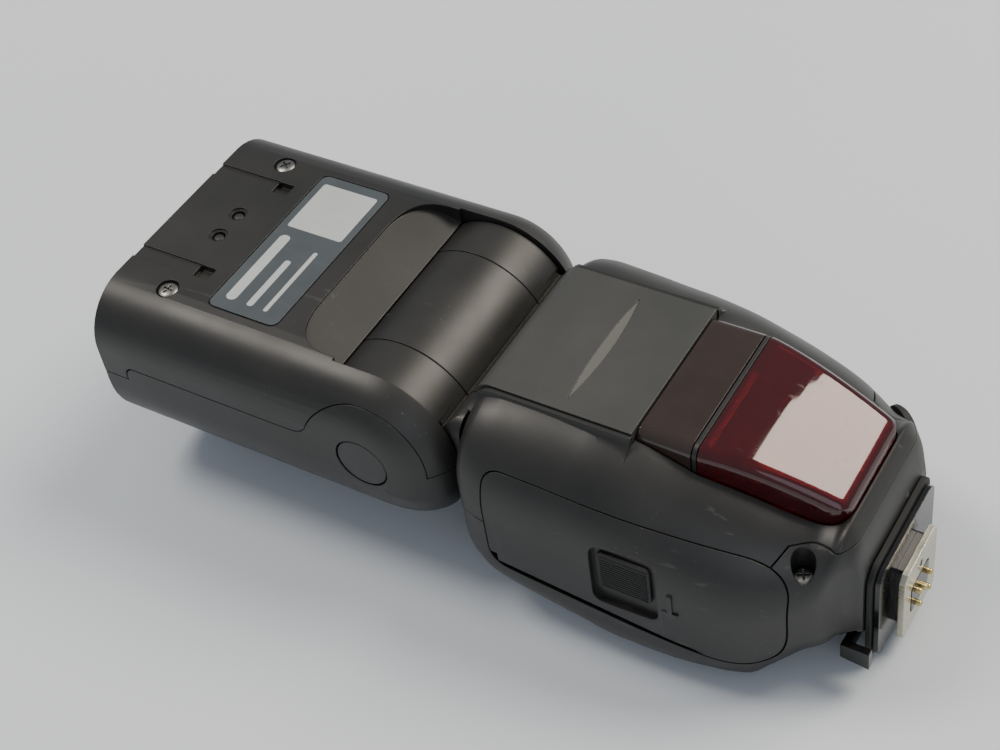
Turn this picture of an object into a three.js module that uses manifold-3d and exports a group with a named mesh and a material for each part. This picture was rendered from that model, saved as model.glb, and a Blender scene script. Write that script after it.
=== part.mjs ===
// A shoe-mount camera speedlight lying on its back, front upwards: a body with its battery door, foot and
// controls, a swivelling neck, and a tilting flash head. Millimetres, +Z up, +X towards the mounting foot.
import * as THREE from "three";
import { mergeVertices } from "three/addons/utils/BufferGeometryUtils.js";
import Module from "manifold-3d";

const wasm = await Module();
wasm.setup();

// ---- driving dimensions -------------------------------------------------------------------------------------
const HEIGHT = 58; // flat side of the head and front of the body, above the surface it lies on
const HALF_WIDTH = 39; // half of the 78 mm width
const HEAD_FRONT = -97.5; // front rim of the head
const LENS_FRONT = -98.5; // face of the flash lens
const PIN_TIPS = 102.5; // ends of the foot's contact pins
const TILT = { x: -20, z: 37.7, r: 20.3 }; // tilt axis, and the round end of the head's arms
const SWIVEL_Z = 33; // height of the swivel axis, which runs along X
const BARREL_R = 18.6;
const BARREL_HALF = 27.9;
const BARREL_SEAM = 16.45;
const WALL = 2.2; // thickness of the moulded shells
const GAP = 0.3; // clearance between neighbouring pieces
const FOOT_Z = 14.8; // centre of the shoe foot
const FOOT = { width: 18.6, depth: 21, face: 100.7, thick: 1.4 };
const TRIM_HALF = 20.8;
const WINDOW_START = 42.9;
const DIVIDER = { x0: 55.9, x1: 56.9 };
const WINDOW_END = 89.4;
const DOOR = { x0: 12.4, x1: 82.2, slope: 0.62, axisY: -37.5, tilt: 0.1116 };
const CELL = { r: 7.2, length: 50.5, x: 20, y: [-23.4, -8.8], z: [18.6, 33.1] };
const BACK_BREAK = 44; // the back slopes from here up to the neck end, and carries the display
const DIAL = { x: 66, r: 12, hub: 6.4 };

// ---- colours ------------------------------------------------------------------------------------------------
const plastic = (color, roughness = 0.55) => new THREE.MeshStandardMaterial({ color, roughness, metalness: 0 });
const metal = (color, roughness = 0.3) => new THREE.MeshStandardMaterial({ color, roughness, metalness: 1 });
const BLACK = plastic(0x2b2c2e);
const GREY_TRIM = plastic(0x3c3e40, 0.5);
const DARK_RUBBER = plastic(0x161617, 0.8);
const SMOKE = plastic(0x1c1412, 0.1);
const RED = plastic(0x6d0d14, 0.1);
const BOARD = plastic(0x1f4d33, 0.6);
const STEEL = metal(0xc9c4b4);
const WHITE = plastic(0xe8e6e0, 0.4);

// ---- solids -------------------------------------------------------------------------------------------------
function solid(geometry) {
  const loose = geometry.index ? geometry.toNonIndexed() : geometry.clone();
  for (const name of Object.keys(loose.attributes)) if (name !== "position") loose.deleteAttribute(name);
  const merged = mergeVertices(loose, 1e-4);
  return new wasm.Manifold(
    new wasm.Mesh({
      numProp: 3,
      vertProperties: merged.attributes.position.array,
      triVerts: new Uint32Array(merged.index.array),
    }),
  );
}

function geometryOf(body) {
  const { numProp, vertProperties, triVerts } = body.getMesh();
  const points = new Float32Array((vertProperties.length / numProp) * 3);
  for (let i = 0; i < points.length / 3; i++) {
    points.set(vertProperties.subarray(i * numProp, i * numProp + 3), i * 3);
  }
  const geometry = new THREE.BufferGeometry();
  geometry.setAttribute("position", new THREE.BufferAttribute(points, 3));
  geometry.setIndex(new THREE.BufferAttribute(triVerts, 1));
  geometry.computeVertexNormals();
  return geometry;
}

// Local axes of an extrusion (shape right, shape up, extrusion) as directions of the part.
const TURNS = {
  x: new THREE.Matrix4().makeBasis(axis(0, 1, 0), axis(0, 0, 1), axis(1, 0, 0)),
  y: new THREE.Matrix4().makeBasis(axis(1, 0, 0), axis(0, 0, 1), axis(0, -1, 0)),
  z: new THREE.Matrix4(),
};

function axis(x, y, z) {
  return new THREE.Vector3(x, y, z);
}

// A shape extruded along a named axis. Its two coordinates are the other two axes, in the order X, Y, Z.
function prism(along, shape, from, to, curveSegments = 2) {
  const geometry = new THREE.ExtrudeGeometry(shape, { depth: to - from, bevelEnabled: false, curveSegments });
  geometry.translate(0, 0, along === "y" ? -to : from);
  return solid(geometry.applyMatrix4(TURNS[along]));
}

function roundedRect(a0, a1, b0, b1, r = 0) {
  const shape = new THREE.Shape();
  if (!r) {
    const corners = [[a0, b0], [a1, b0], [a1, b1], [a0, b1]];
    return shape.setFromPoints(corners.map(([a, b]) => new THREE.Vector2(a, b)));
  }
  shape.absarc(a1 - r, b0 + r, r, -Math.PI / 2, 0);
  shape.absarc(a1 - r, b1 - r, r, 0, Math.PI / 2);
  shape.absarc(a0 + r, b1 - r, r, Math.PI / 2, Math.PI);
  shape.absarc(a0 + r, b0 + r, r, Math.PI, Math.PI * 1.5);
  return shape;
}

function polygon(points) {
  return new THREE.Shape(points.map(([a, b]) => new THREE.Vector2(a, b)));
}

function circle(a, b, r) {
  const shape = new THREE.Shape();
  shape.absarc(a, b, r, 0, Math.PI * 2);
  return shape;
}

function disc(along, a, b, r, from, to, segments = 28) {
  return prism(along, circle(a, b, r), from, to, segments / 2);
}

function box(x0, x1, y0, y1, z0, z1) {
  const geometry = new THREE.BoxGeometry(x1 - x0, y1 - y0, z1 - z0);
  return solid(geometry.translate((x0 + x1) / 2, (y0 + y1) / 2, (z0 + z1) / 2));
}

// A closed surface through rings of points that all have the same number of points.
function loft(rings) {
  const count = rings[0].length;
  const points = rings.flat(2);
  const faces = [];
  for (let i = 0; i + 1 < rings.length; i++) {
    for (let j = 0; j < count; j++) {
      const a = i * count + j;
      const b = i * count + ((j + 1) % count);
      faces.push(a, a + count, b, b, a + count, b + count);
    }
  }
  for (const [ring, first] of [[rings[0], 0], [rings.at(-1), (rings.length - 1) * count]]) {
    const centre = [0, 1, 2].map((k) => ring.reduce((sum, p) => sum + p[k], 0) / count);
    const hub = points.length / 3;
    points.push(...centre);
    for (let j = 0; j < count; j++) {
      const [a, b] = [first + j, first + ((j + 1) % count)];
      faces.push(...(first ? [hub, b, a] : [hub, a, b]));
    }
  }
  const geometry = new THREE.BufferGeometry();
  geometry.setAttribute("position", new THREE.BufferAttribute(new Float32Array(points), 3));
  geometry.setIndex(faces);
  const made = solid(geometry);
  return made.volume() < 0 ? solid(geometry.setIndex(faces.toReversed())) : made;
}

// A finished solid carried somewhere else by a matrix.
function placed(body, matrix) {
  return solid(geometryOf(body).applyMatrix4(matrix));
}

function shift(x, y, z) {
  return new THREE.Matrix4().makeTranslation(x, y, z);
}

function mesh(name, body, material, place = [0, 0, 0]) {
  const made = new THREE.Mesh(geometryOf(body), material);
  made.name = name;
  made.position.set(...place);
  return made;
}

function group(...children) {
  const made = new THREE.Group();
  made.add(...children.flat());
  return made;
}

const joined = (...bodies) => bodies.reduce((all, body) => all.add(body));
const cut = (body, ...tools) => tools.reduce((left, tool) => left.subtract(tool), body);

// ---- the body's outer form ----------------------------------------------------------------------------------
// Stations along X: half width, shoulder height and radius, height of the back and its corner radius.
const STATIONS = [
  [3, 33, 52, 13.5, 14.5, 12],
  [4.5, 35.6, 55, 16, 11.8, 13],
  [7, 37.4, 56.4, 18, 9.2, 13.5],
  [12, 38.6, 57.2, 20.5, 6.9, 12.5],
  [22, 39, 57.6, 23, 4.6, 12.5],
  [32, 39, 57.4, 24, 2.6, 12.5],
  [BACK_BREAK, 39, 55.8, 24, 0, 13],
  [56, 38.6, 52, 23, 0, 12.5],
  [68, 37.2, 48.4, 22.5, 0, 13],
  [74, 35.4, 46.4, 21.2, 0, 13],
  [78, 33.2, 45, 19.5, 2.2, 14],
  [84, 29, 43.8, 16.8, 7, 12.5],
  [87.5, 26, 44.4, 14, 9, 10],
  [89.8, 22.6, 45.4, 9.5, 10.8, 8],
  [91.4, 20.6, 43.6, 7, 11.6, 5],
  [92.9, 19, 41, 5, 12, 4],
  [94.5, 17.8, 33.5, 4, 12.2, 3],
];
const CORNER_STEPS = 6;

// One cross-section: a shoulder corner and a back corner on each side, inset by a wall thickness.
function bodyRing([x, half, shoulder, shoulderR, back, backR], inset = 0) {
  const corners = [
    [half - shoulderR, shoulder - shoulderR, Math.max(shoulderR - inset, 1), 0],
    [-half + shoulderR, shoulder - shoulderR, Math.max(shoulderR - inset, 1), 90],
    [-half + backR, back + backR, Math.max(backR - inset, 1), 180],
    [half - backR, back + backR, Math.max(backR - inset, 1), 270],
  ];
  return corners.flatMap(([y, z, r, start]) =>
    Array.from({ length: CORNER_STEPS + 1 }, (_, i) => {
      const angle = ((start + (90 * i) / CORNER_STEPS) * Math.PI) / 180;
      return [x, y + r * Math.cos(angle), z + r * Math.sin(angle)];
    }),
  );
}

const bodyForm = loft(STATIONS.map((s) => bodyRing(s)));
const innerStations = STATIONS.slice(2, -3).map((s) => bodyRing(s, WALL));
const bodyHollow = loft([innerStations[0].map(([, y, z]) => [8.4, y, z]), ...innerStations.slice(1)]);
const bodyWall = cut(bodyForm, bodyHollow);
const bodyCore = loft(STATIONS.slice(2, -3).map((s) => bodyRing(s, WALL + 0.4)));

// The front windows rise in one flush line with the trim, then fall in a curve towards the foot.
function windowTop(x) {
  return HEIGHT - 0.1 - 9.2 * Math.max(0, (x - 57) / (WINDOW_END - 57)) ** 1.6;
}

// Plan of the windows: straight beside the trim, then tapering, with round corners at the foot end.
function windowHalf(x, grow) {
  return 20 + grow - 5.2 * Math.max(0, (x - 57) / (WINDOW_END - 57));
}

function windowPlan(x0, x1, grow) {
  const half = (x) => windowHalf(x, grow);
  const shape = new THREE.Shape();
  const corner = 4.5;
  shape.moveTo(x0, -half(x0));
  if (x1 < WINDOW_END - 1) {
    shape.lineTo(x1, -half(x1)).lineTo(x1, half(x1)).lineTo(x0, half(x0));
    return shape;
  }
  const bend = Math.max(x0 + 0.1, 57);
  shape.lineTo(bend, -half(bend));
  shape.lineTo(x1 - corner, -half(x1 - corner));
  shape.quadraticCurveTo(x1, -half(x1), x1, -half(x1) + corner);
  shape.lineTo(x1, half(x1) - corner);
  shape.quadraticCurveTo(x1, half(x1), x1 - corner, half(x1 - corner));
  shape.lineTo(bend, half(bend));
  shape.lineTo(x0, half(x0));
  return shape;
}

const TRAY_Z = 44.5; // floor of the pocket under the windows, above the battery box
const TRAY_LOW_Z = 41; // and nearer the foot
const TRAY_STEP_X = 77;

// Side profile of a window between two stations, following windowTop and standing on the tray.
function windowProfile(x0, x1, lower, inset) {
  const steps = 9;
  const top = Array.from({ length: steps + 1 }, (_, i) => {
    const x = x1 + ((x0 - x1) * i) / steps;
    return [x, windowTop(x) - inset];
  });
  const foot = x1 > TRAY_STEP_X;
  const bottom = foot
    ? [
        [x0, TRAY_Z + lower],
        [TRAY_STEP_X, TRAY_Z + lower],
        [TRAY_STEP_X + 2, TRAY_LOW_Z + lower],
        [x1, TRAY_LOW_Z + lower],
      ]
    : [[x0, TRAY_Z + lower], [x1, TRAY_Z + lower]];
  return polygon([...bottom, ...top]);
}

// The windows' rounded upper surface: sections across them with round corners, rolling down at the foot end.
const WINDOW_EDGE = 3;

function windowCrown(x0, x1, inset) {
  const roll = 2.5;
  const flat = Array.from({ length: 8 }, (_, i) => [x0 - 1 + ((x1 - roll - x0 + 1) * i) / 7, 0]);
  const fall = [25, 50, 75].map((t) => (t * Math.PI) / 180);
  const end = fall.map((t) => [x1 - roll + roll * Math.sin(t), roll * (1 - Math.cos(t))]);
  const stops = x1 > WINDOW_END - 1 ? [...flat, ...end, [x1 + 1, roll]] : [...flat.slice(0, -1), [x1 + 1, 0]];
  const rings = stops.map(([x, drop]) => {
    const half = windowHalf(Math.min(x, x1), -GAP) - inset;
    const top = windowTop(Math.min(x, x1)) - inset - drop;
    const r = WINDOW_EDGE - inset;
    const corner = (side, angle) => [x, side * (half - r + r * Math.cos(angle)), top - r + r * Math.sin(angle)];
    const turn = [0, 0.25, 0.5, 0.75, 1].map((t) => (t * Math.PI) / 2);
    return [
      [x, -half, 34],
      [x, half, 34],
      ...turn.map((angle) => corner(1, angle)),
      ...turn.toReversed().map((angle) => corner(-1, angle)),
    ];
  });
  return loft(rings);
}

function windowCover(x0, x1) {
  const skin = 1.8;
  const outside = prism("y", windowProfile(x0, x1, GAP, 0), -24, 24).intersect(
    prism("z", windowPlan(x0, x1, -GAP), 35, 62),
  );
  const inside = prism("y", windowProfile(x0 + skin, x1 - skin, -5, skin), -24, 24).intersect(
    prism("z", windowPlan(x0 + skin, x1 - skin, -GAP - skin), 35, 62),
  );
  return cut(outside.intersect(windowCrown(x0, x1, 0)), inside.intersect(windowCrown(x0 + skin, x1 - skin, skin)));
}

// The round socket cover sits in a flat seat on the corner of the body next to the foot.
const CAP = { x: 86, y: 27.8, z: 31, turn: 0.7, r: 6, plug: 3.8 };

function onCapSeat(body) {
  return placed(body, new THREE.Matrix4().makeRotationZ(-CAP.turn).premultiply(shift(CAP.x, CAP.y, CAP.z)));
}

// ---- body shells --------------------------------------------------------------------------------------------
const PARTING_Z = 33;
const SEAM_X = 92.8;
const frontRegion = polygon([
  [-5, PARTING_Z], [77, PARTING_Z], [77, 38.5], [79.5, 42], [SEAM_X, 42], [SEAM_X, 70], [-5, 70],
]);
const frontGap = polygon([
  [-5, PARTING_Z - GAP], [77 + GAP, PARTING_Z - GAP], [77 + GAP, 38.5 - GAP], [79.5 + GAP, 42 - GAP],
  [SEAM_X + GAP, 42 - GAP], [SEAM_X + GAP, 70], [-5, 70],
]);
const SCREW = { x: 83.5, y: -23.9, top: 35.6 };

// The door's edges slope inwards and towards the back, so that it can swing out past the shell. Its outline is
// drawn in a frame sheared the same way: z rises by DOOR.slope for every millimetre inwards from y = -39.
const DOOR_SHEAR = new THREE.Matrix4().set(
  1, 0, 0, 0,
  0, 1, 0, 0,
  0, -DOOR.slope, 1, -DOOR.slope * HALF_WIDTH,
  0, 0, 0, 1,
);

function doorRegion(grow) {
  const shape = new THREE.Shape();
  const [left, right] = [DOOR.x0 - grow, DOOR.x1 + grow];
  shape.moveTo(left + 4, 50.4 + grow);
  shape.quadraticCurveTo(left, 50.6 + grow, left, 46);
  shape.lineTo(left, 24);
  shape.quadraticCurveTo(left, 19.9 - grow, left + 4, 19.4 - grow);
  shape.lineTo(66, 13.8 - grow);
  shape.lineTo(71, 13.8 - grow);
  shape.quadraticCurveTo(right, 14.2 - grow, right, 27);
  shape.lineTo(right, 38);
  shape.quadraticCurveTo(right, 46.3 + grow, right - 9, 47.2 + grow);
  shape.lineTo(40, 48.9 + grow);
  shape.lineTo(left + 4, 50.4 + grow);
  return placed(prism("y", shape, -45, -24, 4), DOOR_SHEAR);
}

const doorHole = doorRegion(GAP + 0.05);

// Along the hinge the door's outer corner is rounded about the axis it turns on.
function doorHingeCorner() {
  const corner = cut(box(-6, 56, -45, 0, -6, 0), disc("x", 0, 0, 1.35, -7, 57, 16));
  const turn = new THREE.Matrix4().makeRotationY(DOOR.tilt);
  const end = box(DOOR.x0 - 1, DOOR.x0 + 2, -45, -36.4, 19, 22.8);
  return placed(corner, turn.premultiply(shift(16, DOOR.axisY, 20.75))).add(end);
}

const swivelBore = disc("x", 0, SWIVEL_Z, 12.5, 0, 14, 40).add(disc("x", 0, SWIVEL_Z, 18.4, 0, 6.2, 40));

const windowPocket = prism("y", windowProfile(WINDOW_START - 0.3, WINDOW_END + 0.25, 0, -8), -24, 24).intersect(
  prism("z", windowPlan(WINDOW_START - 0.3, WINDOW_END + 0.25, 0.05), 35, 70),
);

// The trim's outline from the side, rolling over at the neck end. The plinth's is a little smaller.
const TRIM_END = 2.6;
const TRIM_ROLL = 4.5;

function trimSide(start, top, low, back) {
  const shape = new THREE.Shape();
  shape.moveTo(back, low);
  shape.lineTo(back, top);
  shape.lineTo(start + TRIM_ROLL, top);
  shape.absarc(start + TRIM_ROLL, top - TRIM_ROLL, TRIM_ROLL, Math.PI / 2, Math.PI, false);
  shape.lineTo(start, low);
  return shape;
}

// A low rim with sloping sides, which brings the body up to the edge of the trim.
function trimPlinth() {
  const section = polygon([
    [-25, 53.4], [25, 53.4], [25, 54.6], [22.2, HEIGHT - 0.4], [-22.2, HEIGHT - 0.4], [-25, 54.6],
  ]);
  const side = prism("y", trimSide(TRIM_END + 0.6, HEIGHT - 0.4, 50, WINDOW_START - 0.3), -30, 30, 4);
  return prism("x", section, 0, WINDOW_START).intersect(side).intersect(plinthReach);
}

const plinthReach = box(TRIM_END + 0.4, WINDOW_START, -30, 30, 53, 60);

function bodyFrontShell() {
  const tray = prism("z", windowPlan(WINDOW_START - 2, WINDOW_END + 1.6, 1.8), TRAY_Z - 1.3, 62);
  const trayLow = prism("z", windowPlan(TRAY_STEP_X - 1.2, WINDOW_END + 1.6, 1.8), TRAY_LOW_Z - 1.3, 62);
  const divider = box(DIVIDER.x0, DIVIDER.x1, -19.6, 19.6, TRAY_Z - 1, HEIGHT).intersect(
    windowCrown(DIVIDER.x0, DIVIDER.x1, 0.1),
  );
  const trimSeat = box(0, WINDOW_START - 0.3, -TRIM_HALF - GAP, TRIM_HALF + GAP, 54.6, 70);
  const trimEnd = box(0, TRIM_END + 2.5, -TRIM_HALF - GAP, TRIM_HALF + GAP, 51.2, 70);
  const walls = joined(bodyWall, tray.intersect(bodyForm), trayLow.intersect(bodyForm), trimPlinth());
  const shell = cut(walls, windowPocket).add(divider).intersect(prism("y", frontRegion, -50, 50));
  return cut(shell, trimSeat, trimEnd, doorHole, swivelBore, onCapSeat(disc("y", 0, 0, CAP.r + GAP, -2.1, 12, 32)));
}

function bodyRearShell() {
  const screwBoss = disc("z", SCREW.x, SCREW.y, 3.9, 22, 46, 20).intersect(bodyForm);
  const dialBoss = disc("z", DIAL.x, 0, DIAL.r + 2, 0.4, 5.6, 40);
  const footWall = box(89.5, 94.4, -20, 20, 13, 40).intersect(bodyForm);
  const capSeat = onCapSeat(disc("y", 0, 0, CAP.r + 1.6, -4.4, 5, 28)).intersect(bodyForm);
  const walls = joined(bodyWall, screwBoss, dialBoss, footWall, capSeat);
  const shell = walls.subtract(prism("y", frontGap, -50, 50));
  return cut(
    shell,
    windowPocket,
    doorHole,
    swivelBore,
    disc("z", SCREW.x, SCREW.y, 2.7, SCREW.top - 1.7, 60, 20),
    disc("z", SCREW.x, SCREW.y, 1.5, 20, 60, 12),
    disc("z", DIAL.x, 0, DIAL.r + 0.4, -1, 4, 40),
    disc("z", DIAL.x, 0, DIAL.hub - 0.1, -1, 8, 32),
    ...BUTTONS.map((b) => placed(buttonShaft(b, 0.35, -1, 6), shift(b.x, b.y, 0))),
    prism("z", roundedRect(POWER.x - 3.2, POWER.x + 3.2, POWER.y - 7.4, POWER.y + 7.4, 2.4), -1, 1.1),
    box(POWER.x - 1.6, POWER.x + 1.6, POWER.y - 5.2, POWER.y + 5.2, -1, 6),
    onBackSlope(box(-LCD.depth / 2 - GAP, LCD.depth / 2 + GAP, -LCD.half - GAP, LCD.half + GAP, -6, 1.9)),
    onBackSlope(box(-LCD.depth / 2 + 3, LCD.depth / 2 - 3, -LCD.half + 3, LCD.half - 3, -6, 8)),
    disc("x", 0, FOOT_Z, 9.2, 80, 100, 32),
    disc("x", 0, FOOT_Z, 13.3, 90.6, 93.4, 32),
    box(86.5, 99, -13.4, 13.4, -1, 15.4),
    box(90.6, 93.4, -24, -10, -1, 14.6),
    box(90.6, 99, -24, -19, -1, 12.6),
    onCapSeat(disc("y", 0, 0, CAP.r + GAP, -2.1, 12, 32)),
    onCapSeat(disc("y", 0, 0, CAP.plug + GAP, -9, 5, 24)),
  );
}

// ---- the back's controls ------------------------------------------------------------------------------------
const BACK_SLOPE = Math.atan2(8 - 0, BACK_BREAK - 9);
const LCD = { x: 26.6, depth: 26, half: 23 };

// Puts a solid made around the origin, outside face at z = 0, onto the sloping part of the back.
function onBackSlope(body) {
  const z = ((BACK_BREAK - LCD.x) * 8) / (BACK_BREAK - 9) - 0.35;
  return placed(body, new THREE.Matrix4().makeRotationY(BACK_SLOPE).premultiply(shift(LCD.x, 0, z)));
}

const FUNCTION_Y = [-18, -6, 6, 18];
const BUTTONS = [
  ...FUNCTION_Y.map((y, i) => ({ name: `function_button_${i + 1}`, x: 48.6, y, long: 8.6, wide: 3.8 })),
  { name: "mode_button", x: 60, y: 22, long: 7.6, wide: 7.6 },
  { name: "wireless_button", x: 60, y: -22, long: 7.6, wide: 7.6 },
  { name: "test_button", x: 70, y: -21.5, long: 6.6, wide: 6.6 },
];
const POWER = { x: 70.5, y: 19.5 };

function buttonShaft({ long, wide }, grow, z0, z1) {
  const [a, b] = [wide / 2 + grow, long / 2 + grow];
  return prism("z", roundedRect(-a, a, -b, b, Math.min(a, b) - 0.02), z0, z1, 2);
}

// A push button: a cap that shows through the shell and a wider flange that keeps it in.
function button(spec) {
  const flange = { long: spec.long + 1.8, wide: spec.wide + 1.8 };
  const body = joined(buttonShaft(spec, 0, 0.3, 3.2), buttonShaft(flange, 0, 2.6, 3.6));
  return mesh(spec.name, body, BLACK, [spec.x, spec.y, 0]);
}

function selectDial() {
  const ring = cut(disc("z", 0, 0, DIAL.r, 0.3, 3.6, 40), disc("z", 0, 0, DIAL.hub + 0.3, 0, 5, 32));
  const grips = Array.from({ length: 20 }, (_, i) => {
    const angle = (i * Math.PI) / 10;
    return disc("z", DIAL.r * Math.cos(angle), DIAL.r * Math.sin(angle), 0.45, 0.2, 4, 6);
  });
  return mesh("select_dial", cut(ring, ...grips), BLACK, [DIAL.x, 0, 0]);
}

function setButton() {
  const body = joined(disc("z", 0, 0, DIAL.hub - 0.5, 0.5, 6.4, 28), disc("z", 0, 0, DIAL.hub + 1, 6.2, 7.2, 28));
  return mesh("set_button", body, GREY_TRIM, [DIAL.x, 0, 0]);
}

function powerSwitch() {
  const thumb = prism("z", roundedRect(-2.8, 2.8, -3.6, 3.6, 1.4), 0.3, 0.95);
  const ribs = [-1.8, 0, 1.8].map((y) => box(-2, 2, y - 0.35, y + 0.35, 0.1, 0.6));
  const body = joined(thumb, ...ribs, box(-1.2, 1.2, -1.6, 1.6, 0.6, 3), box(-2.6, 2.6, -2.4, 2.4, 2.6, 3.6));
  return mesh("power_switch", body, BLACK, [POWER.x, POWER.y, 0]);
}

function displayWindow() {
  const plate = prism("z", roundedRect(-LCD.depth / 2, LCD.depth / 2, -LCD.half, LCD.half, 1.5), 0, 1.4);
  return mesh("lcd_window", onBackSlope(plate), plastic(0x5b6b5a, 0.1));
}

// ---- battery compartment ------------------------------------------------------------------------------------
const BOX = { x0: 16.4, x1: 74.8, y0: -31, y1: -0.1, z0: 9.8, z1: 42.6 };

function batteryBox() {
  const { x0, x1, y0, y1, z0, z1 } = BOX;
  const shell = cut(box(x0, x1, y0, y1, z0, z1), box(x0 + 1.6, x1 - 1.6, y0 - 1, y1 - 1.4, z0 + 1.4, z1 - 1.3));
  return mesh("battery_box", shell.intersect(bodyCore), plastic(0x202022, 0.6));
}

function batteryCell(index, y, z, turned) {
  const body = disc("x", 0, 0, CELL.r, 0, CELL.length - 1.2, 28);
  const nub = disc("x", 0, 0, 2.7, CELL.length - 2, CELL.length, 16);
  const place = [CELL.x + (turned ? CELL.length : 0), y, z];
  const made = mesh(`battery_cell_${index}`, body.add(nub), metal(0x9a8a5a, 0.35), place);
  return turned ? made.rotateZ(Math.PI) : made;
}

// The contact plate at the foot end of the compartment, with a coil spring's envelope for each cell.
function batteryContacts() {
  const plate = box(72.8, 73.0, BOX.y0 + 0.6, BOX.y1 - 1.8, BOX.z0 + 1.8, BOX.z1 - 1.7);
  const springs = CELL.y.flatMap((y) => CELL.z.map((z) => coilCone(70.9, 72.9, y, z)));
  return mesh("battery_contacts", joined(plate.intersect(bodyCore), ...springs), metal(0xd8d5cc, 0.25));
}

function coilCone(x0, x1, y, z) {
  const geometry = new THREE.CylinderGeometry(4, 2.6, x1 - x0, 16);
  return solid(geometry.rotateZ(-Math.PI / 2).translate((x0 + x1) / 2, y, z));
}

function batteryDoor() {
  const skin = bodyWall.intersect(doorRegion(0));
  const recess = prism("y", latchOutline(1.6), -45, -37.35);
  const slot = prism("y", latchSlot(), -45, -30);
  return mesh("battery_door", cut(skin, doorHingeCorner(), recess, slot), BLACK);
}

const LATCH = { x0: 41, x1: 54, z0: 25, z1: 37, travel: 3 };

function latchOutline(grow) {
  const { x0, x1, z0, z1, travel } = LATCH;
  return roundedRect(x0 - grow, x1 + grow, z0 - travel - grow, z1 + grow, 2);
}

function latchSlot() {
  const { x0, x1, z0, z1, travel } = LATCH;
  return roundedRect(x0 + 2.2, x1 - 2.2, z0 + 2.2 - travel, z1 - 2.2, 0.8);
}

// The thumb slide that frees the door: a ribbed pad outside, a stem through the door and a bolt inside.
function doorLatch() {
  const { x0, x1, z0, z1 } = LATCH;
  const pad = prism("y", roundedRect(x0, x1, z0, z1, 1.4), -38.3, -37.65);
  const ribs = Array.from({ length: 6 }, (_, i) => {
    const z = z0 + 1.4 + (i * (z1 - z0 - 2.8)) / 5;
    return box(x0 + 1, x1 - 1, -38.7, -38.2, z - 0.45, z + 0.45);
  });
  const stem = box(x0 + 2.7, x1 - 2.7, -37.9, -35.2, z0 + 2.6, z1 - 2.6);
  const bolt = box(x0 + 1, x1 - 1, -35.4, -33.9, z0 + 1, z1 - 1);
  return mesh("door_latch", joined(pad, ...ribs, stem, bolt), DARK_RUBBER);
}

// ---- front of the body --------------------------------------------------------------------------------------
// The grey trim rolls down over the body's neck end and carries a shallow crescent thumb groove.
function frontTrimPanel() {
  const profile = trimSide(TRIM_END, HEIGHT, 51.6, WINDOW_START - 0.6);
  const inside = polygon([[TRIM_END + 1.7, 50], [TRIM_END + 1.7, 51.6], [TRIM_END + 2.3, 55], [60, 55], [60, 50]]);
  const panel = prism("y", profile, -TRIM_HALF, TRIM_HALF, 4).subtract(prism("y", inside, -30, 30));
  const crescent = disc("z", 26.3 - 91, 0, 91, 50, 70, 240).intersect(disc("z", 23.6 + 153, 0, 153, 50, 70, 320));
  const floor = polygon([[23.3, HEIGHT + 0.05], [26.6, HEIGHT - 0.9], [26.6, 62], [23.3, 62]]);
  return mesh("front_trim_panel", panel.subtract(crescent.intersect(prism("y", floor, -30, 30))), GREY_TRIM);
}

function lampLens(name, y) {
  const lens = joined(disc("z", 0, 0, 4.6, TRAY_Z + 0.3, 47, 24), disc("z", 0, 0, 3.7, 46.8, 49.6, 24));
  return mesh(name, lens, plastic(0xd23a36, 0.25), [67.5, y, 0]);
}

function socketCap() {
  const rim = joined(disc("y", 0, 0, CAP.r, -1.8, -0.4, 32), disc("y", 0, 0, CAP.r - 0.9, -0.5, 0.3, 32));
  const plug = disc("y", 0, 0, CAP.plug, -6, -1.7, 24);
  const cap = mesh("socket_cap", joined(rim, plug), DARK_RUBBER, [CAP.x, CAP.y, CAP.z]);
  return cap.rotateZ(-CAP.turn);
}

function shellScrew() {
  return mesh("shell_screw", screw(2.3, 1.6, 1.15, 9), STEEL, [SCREW.x, SCREW.y, SCREW.top]);
}

// A cross-head screw, its head's top at z = 0 and its shank below.
function screw(headR, headDepth, shankR, length) {
  const head = disc("z", 0, 0, headR, -headDepth, 0, 20).add(disc("z", 0, 0, shankR, -length, -headDepth + 0.2, 12));
  const [arm, slot] = [headR * 0.65, 0.28];
  return cut(head, box(-arm, arm, -slot, slot, -0.8, 1), box(-slot, slot, -arm, arm, -0.8, 1));
}

// ---- inside the body ----------------------------------------------------------------------------------------
function mainCapacitor() {
  const can = disc("x", 0, 0, 14, 0, 56, 32).add(disc("x", 0, 0, 2.2, -2, 1, 12));
  return mesh("main_capacitor", can, plastic(0x2a2f4a, 0.4), [16, 18.6, 27]);
}

function mainBoard() {
  const plate = box(14, 75, 1.4, 3, 11, 42.6);
  const chips = [[22, 6, 20], [40, 9, 30], [64, 7, 22]].map(([x, size, z]) => box(x, x + size, 2.8, 4.4, z, z + size));
  return mesh("main_board", joined(plate, ...chips), BOARD);
}

function controlBoard() {
  const plate = cut(box(46.5, 78, -26, 26, 8.3, 9.6), disc("z", DIAL.x, 0, DIAL.hub + 1.6, 5, 12, 24));
  return mesh("control_board", plate, BOARD);
}

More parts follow.
